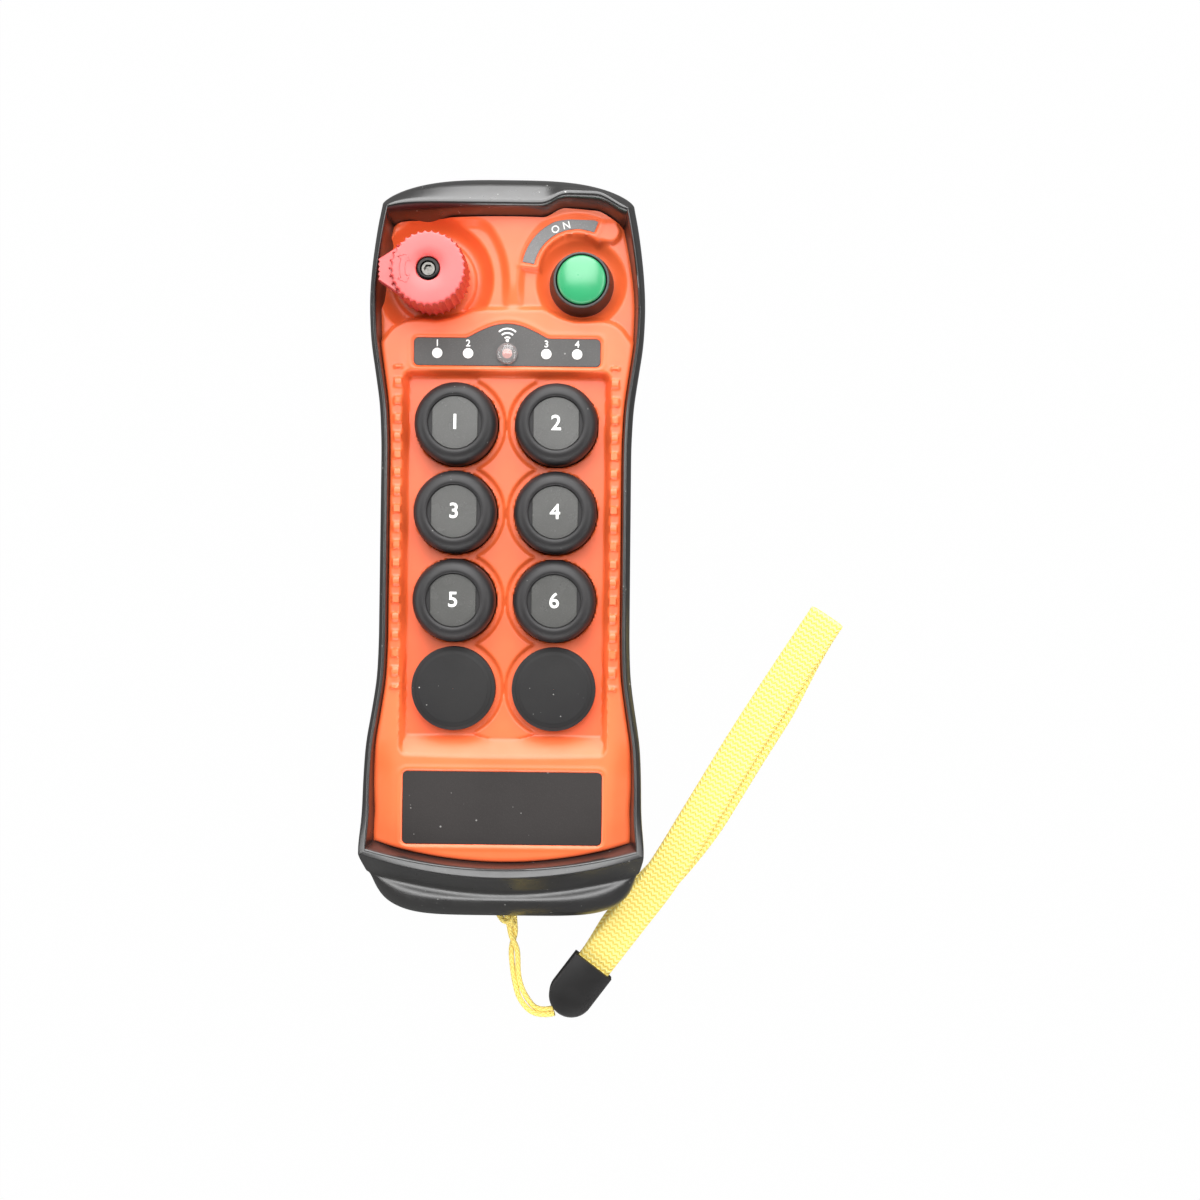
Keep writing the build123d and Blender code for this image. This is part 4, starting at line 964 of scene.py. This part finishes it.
@dataclass
class Lettering:
    """Plain numbers and signs, raised a hair above what they are printed on."""

    bench: Bench
    thick: float = 0.06
    bold: float = 0.07

    def text(
        self, name: str, words: str, place: Point, height: float, body: str = BODY, turn: float = 0.0
    ) -> None:
        """Set a short white text.

        Args:
            name: The piece's name.
            words: What it reads.
            place: Its middle, on the surface, in millimetres.
            height: Height of its capitals in millimetres.
            body: The body that it rides on.
            turn: Degrees that it is turned anticlockwise.
        """
        font = bpy.data.curves.new(name, "FONT")
        font.body = words
        font.align_x, font.align_y = "CENTER", "CENTER"
        font.size = height * 1.37
        font.space_character = 1.15
        font.offset = self.bold * height / 4
        font.extrude = self.thick
        font.resolution_u = 6
        source = linked(name, font)
        mesh = baked(source)
        bpy.data.objects.remove(source)
        mesh.transform(Matrix.Rotation(math.radians(turn), 4, "Z"))
        mesh.transform(Matrix.Scale(MM, 4))
        mesh.transform(Matrix.Translation(Vector(place) * MM))
        self.bench.place(name, mesh, Finish.WHITE, body)

    def strokes(
        self, name: str, lines: Sequence[Sequence[Place]], z: float, width: float, body: str, finish: Finish
    ) -> None:
        """Draw lines of even width on a flat surface.

        Args:
            name: The piece's name.
            lines: Points of each line in millimetres.
            z: Height of the surface.
            width: Width of the lines.
            body: The body that it rides on.
            finish: Its colour.
        """
        points: list[Point] = []
        faces: list[list[int]] = []
        for line in lines:
            route = np.array(line, float)
            run = directions(route)
            aside = np.stack([-run[:, 1], run[:, 0]], axis=1) * width / 2
            count = len(route)
            left_low, right_low, left, right = (len(points) + step * count for step in range(4))
            for level in (z - 0.05, z + self.thick):
                for sign in (1, -1):
                    points += [(x, y, level) for x, y in route + sign * aside]
            for step in range(count - 1):
                for first, second in ((left, right), (left_low, left), (right, right_low)):
                    faces.append([first + step, second + step, second + step + 1, first + step + 1])
        self.bench.piece(name, (np.array(points), faces), finish, body=body)


@dataclass(frozen=True)
class PushButtons:
    """Six rubber push buttons with sunk legend inserts, and two crowned blanking plugs."""

    radius: float = 10.4
    top: float = 43.2
    foot: float = 31.2
    insert_radius: float = 6.65
    insert_flat: float = 5.75
    sink: float = 0.75
    blank_radius: float = 10.65
    blank_foot: float = 34.3
    blank_top: float = 38.9

    def boot_profile(self) -> list[Place]:
        """Section of a rubber boot: a rolled rim round a sunk middle."""
        r, top, seat = self.radius, self.top, self.insert_radius
        return [
            (0.05, self.foot), (r - 0.4, self.foot), (r, self.foot + 0.5), (r, top - 3.6),
            (r - 0.12, top - 2.6), (r - 0.45, top - 1.7), (r - 0.95, top - 0.95), (r - 1.6, top - 0.42),
            (r - 2.3, top - 0.12),
            (r - 2.9, top), (seat + 0.45, top - 0.08), (seat + 0.2, top - 0.22), (seat + 0.12, top - 0.45),
            (seat + 0.1, top - self.sink - 0.35), (0.05, top - self.sink - 0.36),
        ]

    def blank_profile(self) -> list[Place]:
        """Section of a blanking plug with its crowned top."""
        r, foot, top = self.blank_radius, self.blank_foot, self.blank_top
        corners = [
            (0.05, foot), (r - 0.25, foot), (r, foot + 0.4), (r, top - 0.9), (r - 1.5, top - 0.12),
            (r - 5, top + 0.12), (0.05, top + 0.2),
        ]
        return rounded(corners, (0.2, 0.2, 1.1, 1.6, 3.0))

    def insert_outline(self, spot: Place, shrink: float) -> list[Place]:
        """Outline of an insert: a disc with its two sides cut flat."""
        radius, flat = self.insert_radius - shrink, self.insert_flat - shrink
        start = math.acos(flat / radius)
        half = polar((0.0, 0.0), radius, np.linspace(start, math.pi - start, 33))
        return [(spot[0] + side * x, spot[1] + side * y) for side in (1, -1) for x, y in half]

    def build(self, bench: Bench, lettering: Lettering) -> None:
        """Make the buttons, their inserts and legends, and the plugs."""
        top = self.top - self.sink
        spots = [(x, y) for y in ROWS[:3] for x in (-COLUMN, COLUMN)]
        for number, spot in enumerate(spots, start=1):
            body = f"button_{number}"
            boot = turned(self.boot_profile(), spot)
            bench.piece(f"boot_{number}", boot, Finish.BOOT, f"button_boot_{number}", 50, body)
            levels = ((0.0, top - 0.5), (0.0, top - 0.12), (0.12, top))
            insert = skin(lifted((self.insert_outline(spot, shrink), z) for shrink, z in levels), foot=False)
            bench.piece(f"insert_{number}", insert, Finish.INSERT, f"button_insert_{number}", 30, body)
            lettering.text(f"legend_{number}", str(number), (*spot, top + 0.02), 3.9, body)
        for number, x in enumerate((-COLUMN, COLUMN), start=1):
            blank = turned(self.blank_profile(), (x, ROWS[3]))
            bench.piece(f"blank_{number}", blank, Finish.BLANK, "blanking_plugs", 60)


@dataclass(frozen=True)
class StopKnob:
    """Turn-and-push emergency stop knob with pointed flutes and a pointer tab."""

    radius: float = 9.45
    flute_depth: float = 0.62
    flutes: int = 34
    top: float = 53.0
    foot: float = 37.6
    web: float = 46.5
    bore: float = 8.0
    sink_radius: float = 2.95
    sink_depth: float = 3.2
    screw_hole: float = 1.6
    tab_low: float = 45.2
    tab_top: float = 50.6
    body: str = "estop_head"

    def build(self, bench: Bench) -> None:
        """Make the knob, its pointer, the painted shade dots by the pointer, arrow, bush and screw."""
        self.knob(bench)
        self.pointer(bench)
        self.pits(bench)
        self.arrow(bench)
        self.screw(bench)

    def knob(self, bench: Bench) -> None:
        """Make the knob as one closed skin, from its foot, over the top and down inside."""
        r, top, sink, floor = self.radius, self.top, self.sink_radius, self.top - self.sink_depth
        angle = np.linspace(0, 2 * math.pi, self.flutes * 10, endpoint=False)
        notch = np.abs(2 * ((angle * self.flutes / (2 * math.pi)) % 1.0) - 1) ** 2.2
        groove = self.flute_depth * (1 - notch)
        # Radius, height and the share of the flutes' depth that shows there
        levels = (
            (r - 1.4, self.foot, 0.0), (r - 0.1, self.foot + 0.1, 1.0), (r, self.foot + 0.5, 1.0),
            (r, top - 1.5, 1.0), (r - 0.03, top - 0.5, 0.95), (r - 0.16, top - 0.14, 0.8),
            (r - 0.45, top - 0.02, 0.55), (r - 0.9, top, 0.25), (r - 1.5, top + 0.02, 0.0),
            (6.0, top + 0.03, 0.0), (sink + 0.35, top, 0.0), (sink + 0.1, top - 0.08, 0.0),
            (sink, top - 0.35, 0.0), (sink, floor, 0.0), (self.screw_hole, floor, 0.0),
            (self.screw_hole, self.web, 0.0), (self.bore, self.web, 0.0), (self.bore, self.foot, 0.0),
        )
        rings = [ring(STOP, radius - share * groove, z, angle) for radius, z, share in levels]
        shape = np.concatenate(rings), sheet_faces(len(levels), len(angle), True, True)
        bench.piece("knob", shape, Finish.KNOB, "estop_knob", 55, self.body)

    def pointer(self, bench: Bench) -> None:
        """Make the pointer tab, a wedge tangent to the knob with a toothed tip."""
        reach, half, tooth, root = 12.5, 2.5, 0.35, -6.2
        tangent = self.radius - 0.75
        tip = [(-reach + tooth * (step % 2), y) for step, y in enumerate(np.linspace(-half, half, 9))]
        inside = [(-8.3 * math.cos(turn), 8.3 * math.sin(turn)) for turn in np.linspace(1.08, -1.08, 15)]
        outline = [(root, -tangent + 2.0), *tip, (root, tangent - 2.0), *inside]
        inner = [(x * 0.985 - 0.02, y * 0.96) for x, y in outline]
        levels = ((outline, self.tab_low), (outline, self.tab_top - 0.3), (inner, self.tab_top))
        rings = lifted(([(STOP[0] + x, STOP[1] + y) for x, y in shape], z) for shape, z in levels)
        bench.piece("knob_pointer", skin(rings, flip=True), Finish.KNOB, "estop_knob", 30, self.body)

    def pits(self, bench: Bench) -> None:
        """Make a row of small darker red discs where the pointer meets the knob, painted shade for the little
        shadows there.
        """
        spots = polar(STOP, self.radius + 0.15, np.radians(np.linspace(143, 226, 8)))
        profile = [(0.02, self.tab_top + 0.04), (0.3, self.tab_top + 0.04), (0.36, self.tab_top - 0.1)]
        for number, spot in enumerate(spots, start=1):
            bench.piece(f"knob_pit_{number}", turned(profile, spot, 14), Finish.PIT, body=self.body)

    def arrow(self, bench: Bench) -> None:
        """Emboss the outline of a two-headed turning arrow on the left of the top."""
        outer, inner, barb = 7.0, 5.6, 0.9
        middle = (outer + inner) / 2
        half, head = math.radians(20), math.radians(14)
        start, end = math.pi - half, math.pi + half
        sweep = np.linspace(start, end, 24)
        spots = [(outer, angle) for angle in sweep]
        spots += [(outer + barb, end), (middle, end + head), (inner - barb, end)]
        spots += [(inner, angle) for angle in sweep[::-1]]
        spots += [(inner - barb, start), (middle, start - head), (outer + barb, start), (outer, start)]
        corners = np.array([polar(STOP, radius, [angle])[0] for radius, angle in spots])
        dense = np.empty((2 * len(corners) - 1, 2))
        dense[::2] = corners
        dense[1::2] = (corners[:-1] + corners[1:]) / 2
        Lettering(bench, thick=0.12).strokes("knob_arrow", [dense], self.top, 0.22, self.body, Finish.KNOB)

    def screw(self, bench: Bench) -> None:
        """Make the dark bush and the socket screw in the knob's sink."""
        top = self.top - 0.5
        bush = [
            (1.8, top - 1.6), (2.75, top - 1.6), (2.75, top - 0.1), (2.55, top), (2.0, top), (1.8, top - 0.3),
            (1.8, top - 1.6),
        ]
        bench.piece("knob_bush", turned(bush, STOP, 48), Finish.SCREW, crisp=30, body=self.body)
        top -= 0.45
        angle = np.linspace(0, 2 * math.pi, 48, endpoint=False)
        socket = 1.15 * math.cos(math.pi / 6) / np.cos((angle % (math.pi / 3)) - math.pi / 6)
        levels = ((1.75, top - 1.6), (1.75, top - 0.2), (1.6, top), (socket, top), (socket, top - 1.4))
        rings = [ring(STOP, radius, z, angle) for radius, z in levels]
        bench.piece("knob_screw", skin(rings, foot=False), Finish.BRIGHT, "estop_knob_screw", 30, self.body)


@dataclass(frozen=True)
class StartButton:
    """Green start button, hollow from below, and the grey ring round it."""

    cap_radius: float = 6.1
    cap_top: float = 44.6
    dome: float = 1.55
    ring_inner: float = 6.4
    ring_outer: float = 7.0
    ring_low: float = 41.5
    ring_top: float = 42.4

    def build(self, bench: Bench) -> None:
        """Make the cap and the ring."""
        top, r = self.cap_top, self.cap_radius
        cap = [
            (1.9, top - 6.0), (r - 1.0, top - 6.0), (r - 1.0, top - 8.0), (r, top - 8.0), (r, top - 2.1),
            (r - 0.04, top - 1.75),
        ]
        for turn in np.linspace(1.25, 0.008, 22):
            cap.append((r * math.sin(turn), top - self.dome + self.dome * math.cos(turn) ** 1.6))
        bench.piece("green_cap", turned(cap, START), Finish.GREEN, "start_cap", 50, "start_button")
        inner, outer, low, high = self.ring_inner, self.ring_outer, self.ring_low, self.ring_top
        corners = [(inner, low), (outer, low), (outer, high), (inner, high), (inner, low)]
        section = rounded(corners, (0.1, 0.25, 0.25), 4)
        bench.piece("grey_ring", turned(section, START), Finish.GREY, "start_ring", 50)


@dataclass(frozen=True)
class Labels:
    """Printed films and their plain signs, and the clear lens over the status lamp."""

    arc: StartArc
    film_top: float = 38.1
    start_top: float = 37.95
    plate_top: float = 38.2
    plate_half: tuple[float, float] = (25.2, 9.2)

    def film(
        self, bench: Bench, name: str, outline: Sequence[Place], top: float, finish: Finish, node: str
    ) -> None:
        """Make a flat film with an eased edge that stands for a label's node."""
        edge = np.array(outline, float)
        run = unit(np.roll(edge, -1, axis=0) - np.roll(edge, 1, axis=0))
        inner = edge + np.stack([-run[:, 1], run[:, 0]], axis=1) * 0.1
        rings = lifted(((edge, top - 0.45), (edge, top - 0.08), (inner, top)))
        bench.piece(name, skin(rings, foot=False), finish, node, 30)

    def box_outline(self, half_x: float, half_y: float, corner: float) -> list[Place]:
        """Anticlockwise outline of a rounded rectangle about the origin."""
        points = []
        for turn, (side_x, side_y) in enumerate(((1, 1), (-1, 1), (-1, -1), (1, -1))):
            centre = side_x * (half_x - corner), side_y * (half_y - corner)
            points += polar(centre, corner, np.linspace(turn * math.pi / 2, (turn + 1) * math.pi / 2, 8))
        return points

    def status_outline(self) -> list[Place]:
        """Outline of the status film: a long bar with a hump over the lamp."""
        bar = [(x, y + 49.8) for x, y in self.box_outline(23.6, 3.5, 1.2)]
        hump = [(x, 53.3 + 3.7 * (1 - (x / 10.6) ** 2) ** 1.3) for x in np.linspace(10.5, -10.5, 41)]
        return bar[:8] + hump + bar[8:]

    def arc_outline(self) -> list[Place]:
        """Outline of the start film, part of a ring."""
        arc = self.arc
        sweep = np.radians(np.linspace(arc.label_from, arc.label_to, 50))
        return polar(arc.centre, arc.label_outer, sweep) + polar(arc.centre, arc.label_inner, sweep[::-1])

    def build(self, bench: Bench, lettering: Lettering) -> None:
        """Make the films, signs, windows and lens."""
        top = self.film_top
        plate = [(x, y + PLATE_Y) for x, y in self.box_outline(*self.plate_half, 1.2)]
        self.film(bench, "status_film", self.status_outline(), top, Finish.LABEL, "status_label")
        self.film(bench, "start_film", self.arc_outline(), self.start_top, Finish.ARC, "start_label")
        self.film(bench, "plate_film", plate, self.plate_top, Finish.PLATE, "name_plate")
        profile = [(1.3, top - 0.3), (1.3, top + 0.1), (1.15, top + 0.22), (0.02, top + 0.25)]
        for number, x in enumerate(WINDOWS, start=1):
            window = turned(profile, (x, LAMP_Y), 40)
            bench.piece(f"window_{number}", window, Finish.WHITE, "signal_windows", 50)
            lettering.text(f"signal_{number}", str(number), (x, LAMP_Y + 2.5, top + 0.02), 1.75)
        self.lens(bench)
        sweep = np.radians(np.linspace(48, 132, 16))
        waves = [polar((0.0, 52.55), radius, sweep) for radius in (1.0, 2.1, 3.2)]
        waves.append(polar((0.0, 52.75), 0.22, np.linspace(0, 2 * math.pi, 12)))
        lettering.strokes("signal_sign", waves, top, 0.42, BODY, Finish.WHITE)
        middle = (self.arc.label_inner + self.arc.label_outer) / 2 - 0.35
        for letter, degrees in (("O", 117.0), ("N", 103.0)):
            spot = polar(self.arc.centre, middle, [math.radians(degrees)])[0]
            place = (*spot, self.start_top + 0.02)
            lettering.text(f"start_{letter.lower()}", letter, place, 1.9, turn=degrees - 90)

    def lens(self, bench: Bench) -> None:
        """Make the clear dome, and the pale lamp that shows through it."""
        top, centre, radius = self.film_top, (0.0, LAMP_Y), 2.7
        dome = [(radius, top - 2.5)]
        for turn in np.linspace(0.0, 1.563, 18):
            dome.append((radius * math.cos(turn), top + 0.25 + 1.45 * math.sin(turn)))
        bench.piece("status_dome", turned(dome, centre, 64), Finish.LENS, "status_lens")
        bowl = [
            (2.62, top - 0.1), (2.2, top - 0.9), (1.5, top - 1.2), (1.45, top - 0.3), (0.9, top + 0.15),
            (0.02, top + 0.3),
        ]
        bench.piece("status_reflector", turned(bowl, centre, 48), Finish.LAMP)


@dataclass(frozen=True)
class Lanyard:
    """Braided cord from the foot pin, its knot and cap, and the flat wrist strap folded back on itself."""

    route: tuple[Point, ...] = (
        (0.8, -94.35, 7.0), (1.1, -98.5, 5.6), (1.6, -103.5, 3.0), (2.0, -109.6, 1.7),
        (2.4, -115.8, 1.6), (4.2, -121.6, 1.6), (8.4, -125.9, 1.7), (12.95, -124.65, 2.4),
    )
    cord: float = 2.6
    strand: float = 0.74
    knot_strand: float = 0.78
    strap_route: tuple[Place, ...] = (
        (20.6, -116.0), (32.0, -100.9), (42.3, -87.6), (54.0, -68.2), (68.0, -44.6), (85.7, -17.6)
    )
    strap_width: float = 10.0
    strap_thick: float = 0.95
    cap_end: Place = (14.0, -124.8)
    cap_mouth: Place = (23.6, -112.0)
    cap_half: float = 6.1
    cap_deep: float = 5.2

    def build(self, bench: Bench) -> None:
        """Make the cord, knot, strap and cap."""
        self.doubled_cord(bench)
        self.knot(bench)
        self.strap(bench)
        self.cap(bench)

    @staticmethod
    def centre_line(route: Sequence[Point]) -> np.ndarray:
        """Points of the smooth line that a route's spline draws, in millimetres."""
        curve = bpy.data.curves.new("route", "CURVE")
        curve.dimensions = "3D"
        curve.resolution_u = 24
        spline = curve.splines.new("NURBS")
        spline.points.add(len(route) - 1)
        for point, place in zip(spline.points, route):
            point.co = (*place, 1.0)
        spline.order_u = 3
        spline.use_endpoint_u = True
        holder = linked("route", curve)
        points = np.array([vertex.co[:] for vertex in baked(holder).vertices])
        bpy.data.objects.remove(holder)
        return points

    @staticmethod
    def tubes(lines: Iterable[np.ndarray], radius: float, sides: int = 16) -> tuple[Shape, np.ndarray]:
        """Skin several lines as one shape.

        Args:
            lines: Points of each line in millimetres.
            radius: The tubes' radius.
            sides: Facets round each tube.

        Returns:
            The points and faces, and across and along for each point.
        """
        angle = np.linspace(0, 2 * math.pi, sides, endpoint=False)
        points, faces, measure = [], [], []
        for line in lines:
            aside, over = beside(line)
            rings = aside[:, None] * np.cos(angle)[:, None] + over[:, None] * np.sin(angle)[:, None]
            more, joined = skin(line[:, None] + radius * rings, flip=True)
            start = sum(len(part) for part in points)
            points.append(more)
            faces += [[number + start for number in face] for face in joined]
            around = np.tile(radius * angle, len(line))
            measure.append(np.column_stack([around, np.repeat(travelled(line), sides)]))
        return (np.concatenate(points), faces), np.concatenate(measure)

    def doubled_cord(self, bench: Bench) -> None:
        """Make the doubled cord: two braided strands side by side, crossing once."""
        path = self.centre_line(self.route)
        aside, over = beside(path)
        share = np.linspace(0, 1, len(path))[:, None]
        turn = math.pi * step_up(share, 0.2, 0.42) + 0.35 * np.sin(share * 9)
        spread = self.strand * 0.95 * (1 + 0.25 * np.sin(share * math.pi * 3 + 0.6) ** 2)
        strands = []
        for side in (1, -1):
            line = path + side * spread * (np.cos(turn) * aside + 0.9 * np.sin(turn) * over)
            line[:, 2] = np.maximum(line[:, 2], self.strand + 0.05)
            strands.append(line)
        shape, measure = self.tubes(strands, self.strand)
        cord = bench.piece("doubled_cord", shape, Finish.CORD, "lanyard_cord", measure=measure)

    def knot(self, bench: Bench) -> None:
        """Make the hitch on the pin: two loops over it, a cross wrap and two loose loops."""
        sweep = np.radians(np.linspace(-120, 150, 26))
        bar = np.linspace(-1, 1, 22)
        loop_y, loop_z = -91.25 - 2.05 * np.sin(sweep), 7.5 + 2.05 * np.cos(sweep)
        lines = [np.column_stack([np.full(len(sweep), x), loop_y, loop_z]) for x in (-0.1, 1.7)]
        lines += [
            np.column_stack([0.8 + 2.1 * bar, -93.9 - 1.0 * (1 - bar**2), 7.9 - 0.9 * bar**2 + 0.4 * bar]),
            np.column_stack([-0.1 + 2.7 * bar, -99.7 + 3.4 * bar**2, 6.9 - 0.4 * bar**2]),
            np.column_stack([0.1 + 1.7 * bar, -98.2 - 2.4 * bar, 5.6 + 1.2 * (1 - bar**2)]),
        ]
        shape, measure = self.tubes(lines, self.knot_strand)
        bench.piece("cord_hitch", shape, Finish.CORD, "lanyard_knot", measure=measure)

    def strap_line(self) -> tuple[np.ndarray, np.ndarray]:
        """Middle line of the whole band and the direction of its right edge, from the cap out and back."""
        flat = self.centre_line([(x, y, 0.0) for x, y in self.strap_route])
        run = directions(flat)
        right = np.cross(run, (0, 0, 1.0))
        share = np.linspace(0, 1, len(flat))[:, None]
        drift = 2.3 * step_up(share, 0.3, 0.62) * (1 - step_up(share, 0.86, 1.0))
        drift = drift - 1.0 * step_up(share, 0.04, 0.14) * (1 - step_up(share, 0.2, 0.42))
        lower = flat + right * drift
        upper = flat - right * 0.25 * step_up(share, 0.3, 0.6)
        lower[:, 2] = 1.0 + 0.5 * (1 - step_up(share[:, 0], 0.0, 0.1))
        upper[:, 2] = 2.6 + 0.45 * np.sin(share[:, 0] * math.pi) ** 2
        bend = np.linspace(-math.pi / 2, math.pi / 2, 14)[1:-1, None]
        end, radius = (lower[-1] + upper[-1]) / 2, (upper[-1, 2] - lower[-1, 2]) / 2
        fold = end + run[-1] * 1.5 * radius * np.cos(bend) + np.array((0, 0, radius)) * np.sin(bend)
        right = np.concatenate([right, np.repeat(right[-1:], len(fold), axis=0), right[::-1]])
        return np.concatenate([lower, fold, upper[::-1]]), right

    def strap(self, bench: Bench) -> None:
        """Make the strap as one band that runs out low, turns over at the far end and comes back on top."""
        line, right = self.strap_line()
        normal = unit(np.cross(right, directions(line)))
        half, thick = self.strap_width / 2, self.strap_thick / 2
        top = [(half * a, thick * (1 - 0.75 * abs(a) ** 6)) for a in np.linspace(-1, 1, 13)]
        section = top + [(x, -z) for x, z in top[::-1]]
        shape = skin(np.stack([line + right * a + normal * b for a, b in section], axis=1), flip=True)
        length = travelled(line)
        across = np.tile([a for a, _ in section], len(line))
        measure = np.column_stack([across, np.repeat(length, len(section))])
        strap = bench.piece("strap", shape, Finish.STRAP, "wrist_strap", measure=measure)

    def cap(self, bench: Bench) -> None:
        """Make the moulded cap that joins the cord to the strap."""
        end, mouth, half = np.array(self.cap_end), np.array(self.cap_mouth), self.cap_half
        reach = float(np.linalg.norm(mouth - end))
        run = (mouth - end) / reach
        left = np.array((-run[1], run[0]))
        arc = polar((half, 0.0), half, np.linspace(math.pi / 2, 3 * math.pi / 2, 33))
        outline = np.array([(reach, half), *arc, (reach, -half)])
        at_mouth = outline[:, 0] == reach
        middle = np.array((reach / 2, 0.0))
        deep = self.cap_deep
        levels = []
        for inset, z in ((0.35, 0.05), (0.0, 0.5), (0.0, deep - 0.55), (0.12, deep - 0.2), (0.45, deep)):
            scaled = middle + (outline - middle) * (1 - inset / half)
            scaled[at_mouth, 0] = reach - (inset if z > 1 else 0.0) * 0.3
            levels.append((end + scaled[:, :1] * run + scaled[:, 1:] * left, z))
        cap = bench.piece("cap_shell", skin(lifted(levels)), Finish.BLACK, "lanyard_cap")
        side, back, front = 5.1, reach - 6.5, reach + 3
        slot = ((back, -side), (front, -side), (front, side), (back, side))
        bench.carve(cap, [end + run * along + left * across for along, across in slot], 0.45, 3.75, 32)


@dataclass(frozen=True)
class Studio:
    """Pale floor, soft lamps and the camera above the face."""

    camera: Point = (24.2, -12.62, 500.0)
    roll: float = 0.665
    lens: float = 54.77
    floor_reach: float = 3.0

    def build(self) -> None:
        """Set up the view, the floor and the lamps."""
        data = bpy.data.cameras.new("camera")
        data.lens = self.lens
        data.sensor_width = 36.0
        data.clip_start, data.clip_end = 0.01, 20.0
        camera = linked("camera", data)
        camera.location = Vector(self.camera) * MM
        camera.rotation_euler = (0.0, 0.0, math.radians(self.roll))
        bpy.context.scene.camera = camera
        bpy.context.scene.view_settings.view_transform = "Standard"
        self.floor()
        self.lamps()

    def floor(self) -> None:
        """Make a white floor that keeps a soft shadow."""
        mesh = bpy.data.meshes.new("floor")
        reach = self.floor_reach
        corners = [(-reach, -reach, 0), (reach, -reach, 0), (reach, reach, 0), (-reach, reach, 0)]
        mesh.from_pydata(corners, [], [(0, 1, 2, 3)])
        floor = linked("floor", mesh)
        graph = Graph("floor")
        seen = graph.node("ShaderNodeLightPath", {}, {}, "Is Camera Ray")
        shade = graph.node("ShaderNodeBsdfDiffuse", {}, {"Color": (0.12, 0.12, 0.12)}, "BSDF")
        glow = graph.node("ShaderNodeEmission", {}, {"Color": (1.0, 1.0, 1.0), "Strength": 1.02}, "Emission")
        mixed = graph.node("ShaderNodeMixShader", {}, {0: seen * 0.97, 1: shade, 2: glow})
        mesh.materials.append(graph.finish(mixed))

    def lamps(self) -> None:
        """Hang a wide soft lamp over the head side and low strips at the ends and sides, under a dim sky."""
        # Name, place in metres, width, height and power
        for name, place, wide, high, power in (
            ("overhead", (0.0, 0.68, 1.02), 1.5, 1.36, 30.5), ("head", (0.0, 1.05, 0.3), 1.3, 0.56, 12.5),
            ("foot", (0.0, -0.8, 0.36), 1.2, 0.3, 6.2), ("left", (-0.85, 0.0, 0.36), 1.2, 0.28, 5.2),
            ("right", (0.85, 0.0, 0.48), 1.2, 0.24, 5.0),
        ):
            data = bpy.data.lights.new(name, "AREA")
            data.shape = "RECTANGLE"
            data.size, data.size_y = wide, high
            data.energy = power
            lamp = linked(name, data)
            lamp.location = place
            lamp.rotation_mode = "QUATERNION"
            lamp.rotation_quaternion = (-Vector(place)).to_track_quat("-Z", "Y")
        world = bpy.data.worlds.new("studio")
        world.use_nodes = True
        sky = world.node_tree.nodes["Background"]
        sky.inputs["Color"].default_value = (1.0, 1.0, 1.0, 1.0)
        sky.inputs["Strength"].default_value = 0.06
        bpy.context.scene.world = world


def dress_nodes(frame: dict[str, object], finishes: Finishes) -> None:
    """Give every CAD node the first finish listed for its material slot."""
    slots = {part["node"]: part["material_slot"] for part in frame["record"]["subparts"]}
    by_slot = {finish.value.slot: finish for finish in reversed(Finish)}
    for name, node in frame["nodes"].items():
        node.data.materials.clear()
        node.data.materials.append(finishes.get(by_slot[slots[name]]))
    log.info("dressed %d nodes", len(slots))


def main() -> None:
    """Load the frame, dress it and build each sub-assembly."""
    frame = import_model()
    finishes = Finishes()
    bench = Bench(finishes)
    lettering = Lettering(bench)
    Studio().build()
    Lanyard().build(bench)
    dress_nodes(frame, finishes)
    bumper, arc = Bumper(), StartArc()
    bumper.build(bench)
    Face(bumper.inner_wall, arc).build(bench)
    PushButtons().build(bench, lettering)
    StopKnob().build(bench)
    StartButton().build(bench)
    Labels(arc).build(bench, lettering)


if __name__ == "__main__":
    logging.basicConfig(level=logging.INFO)
    main()
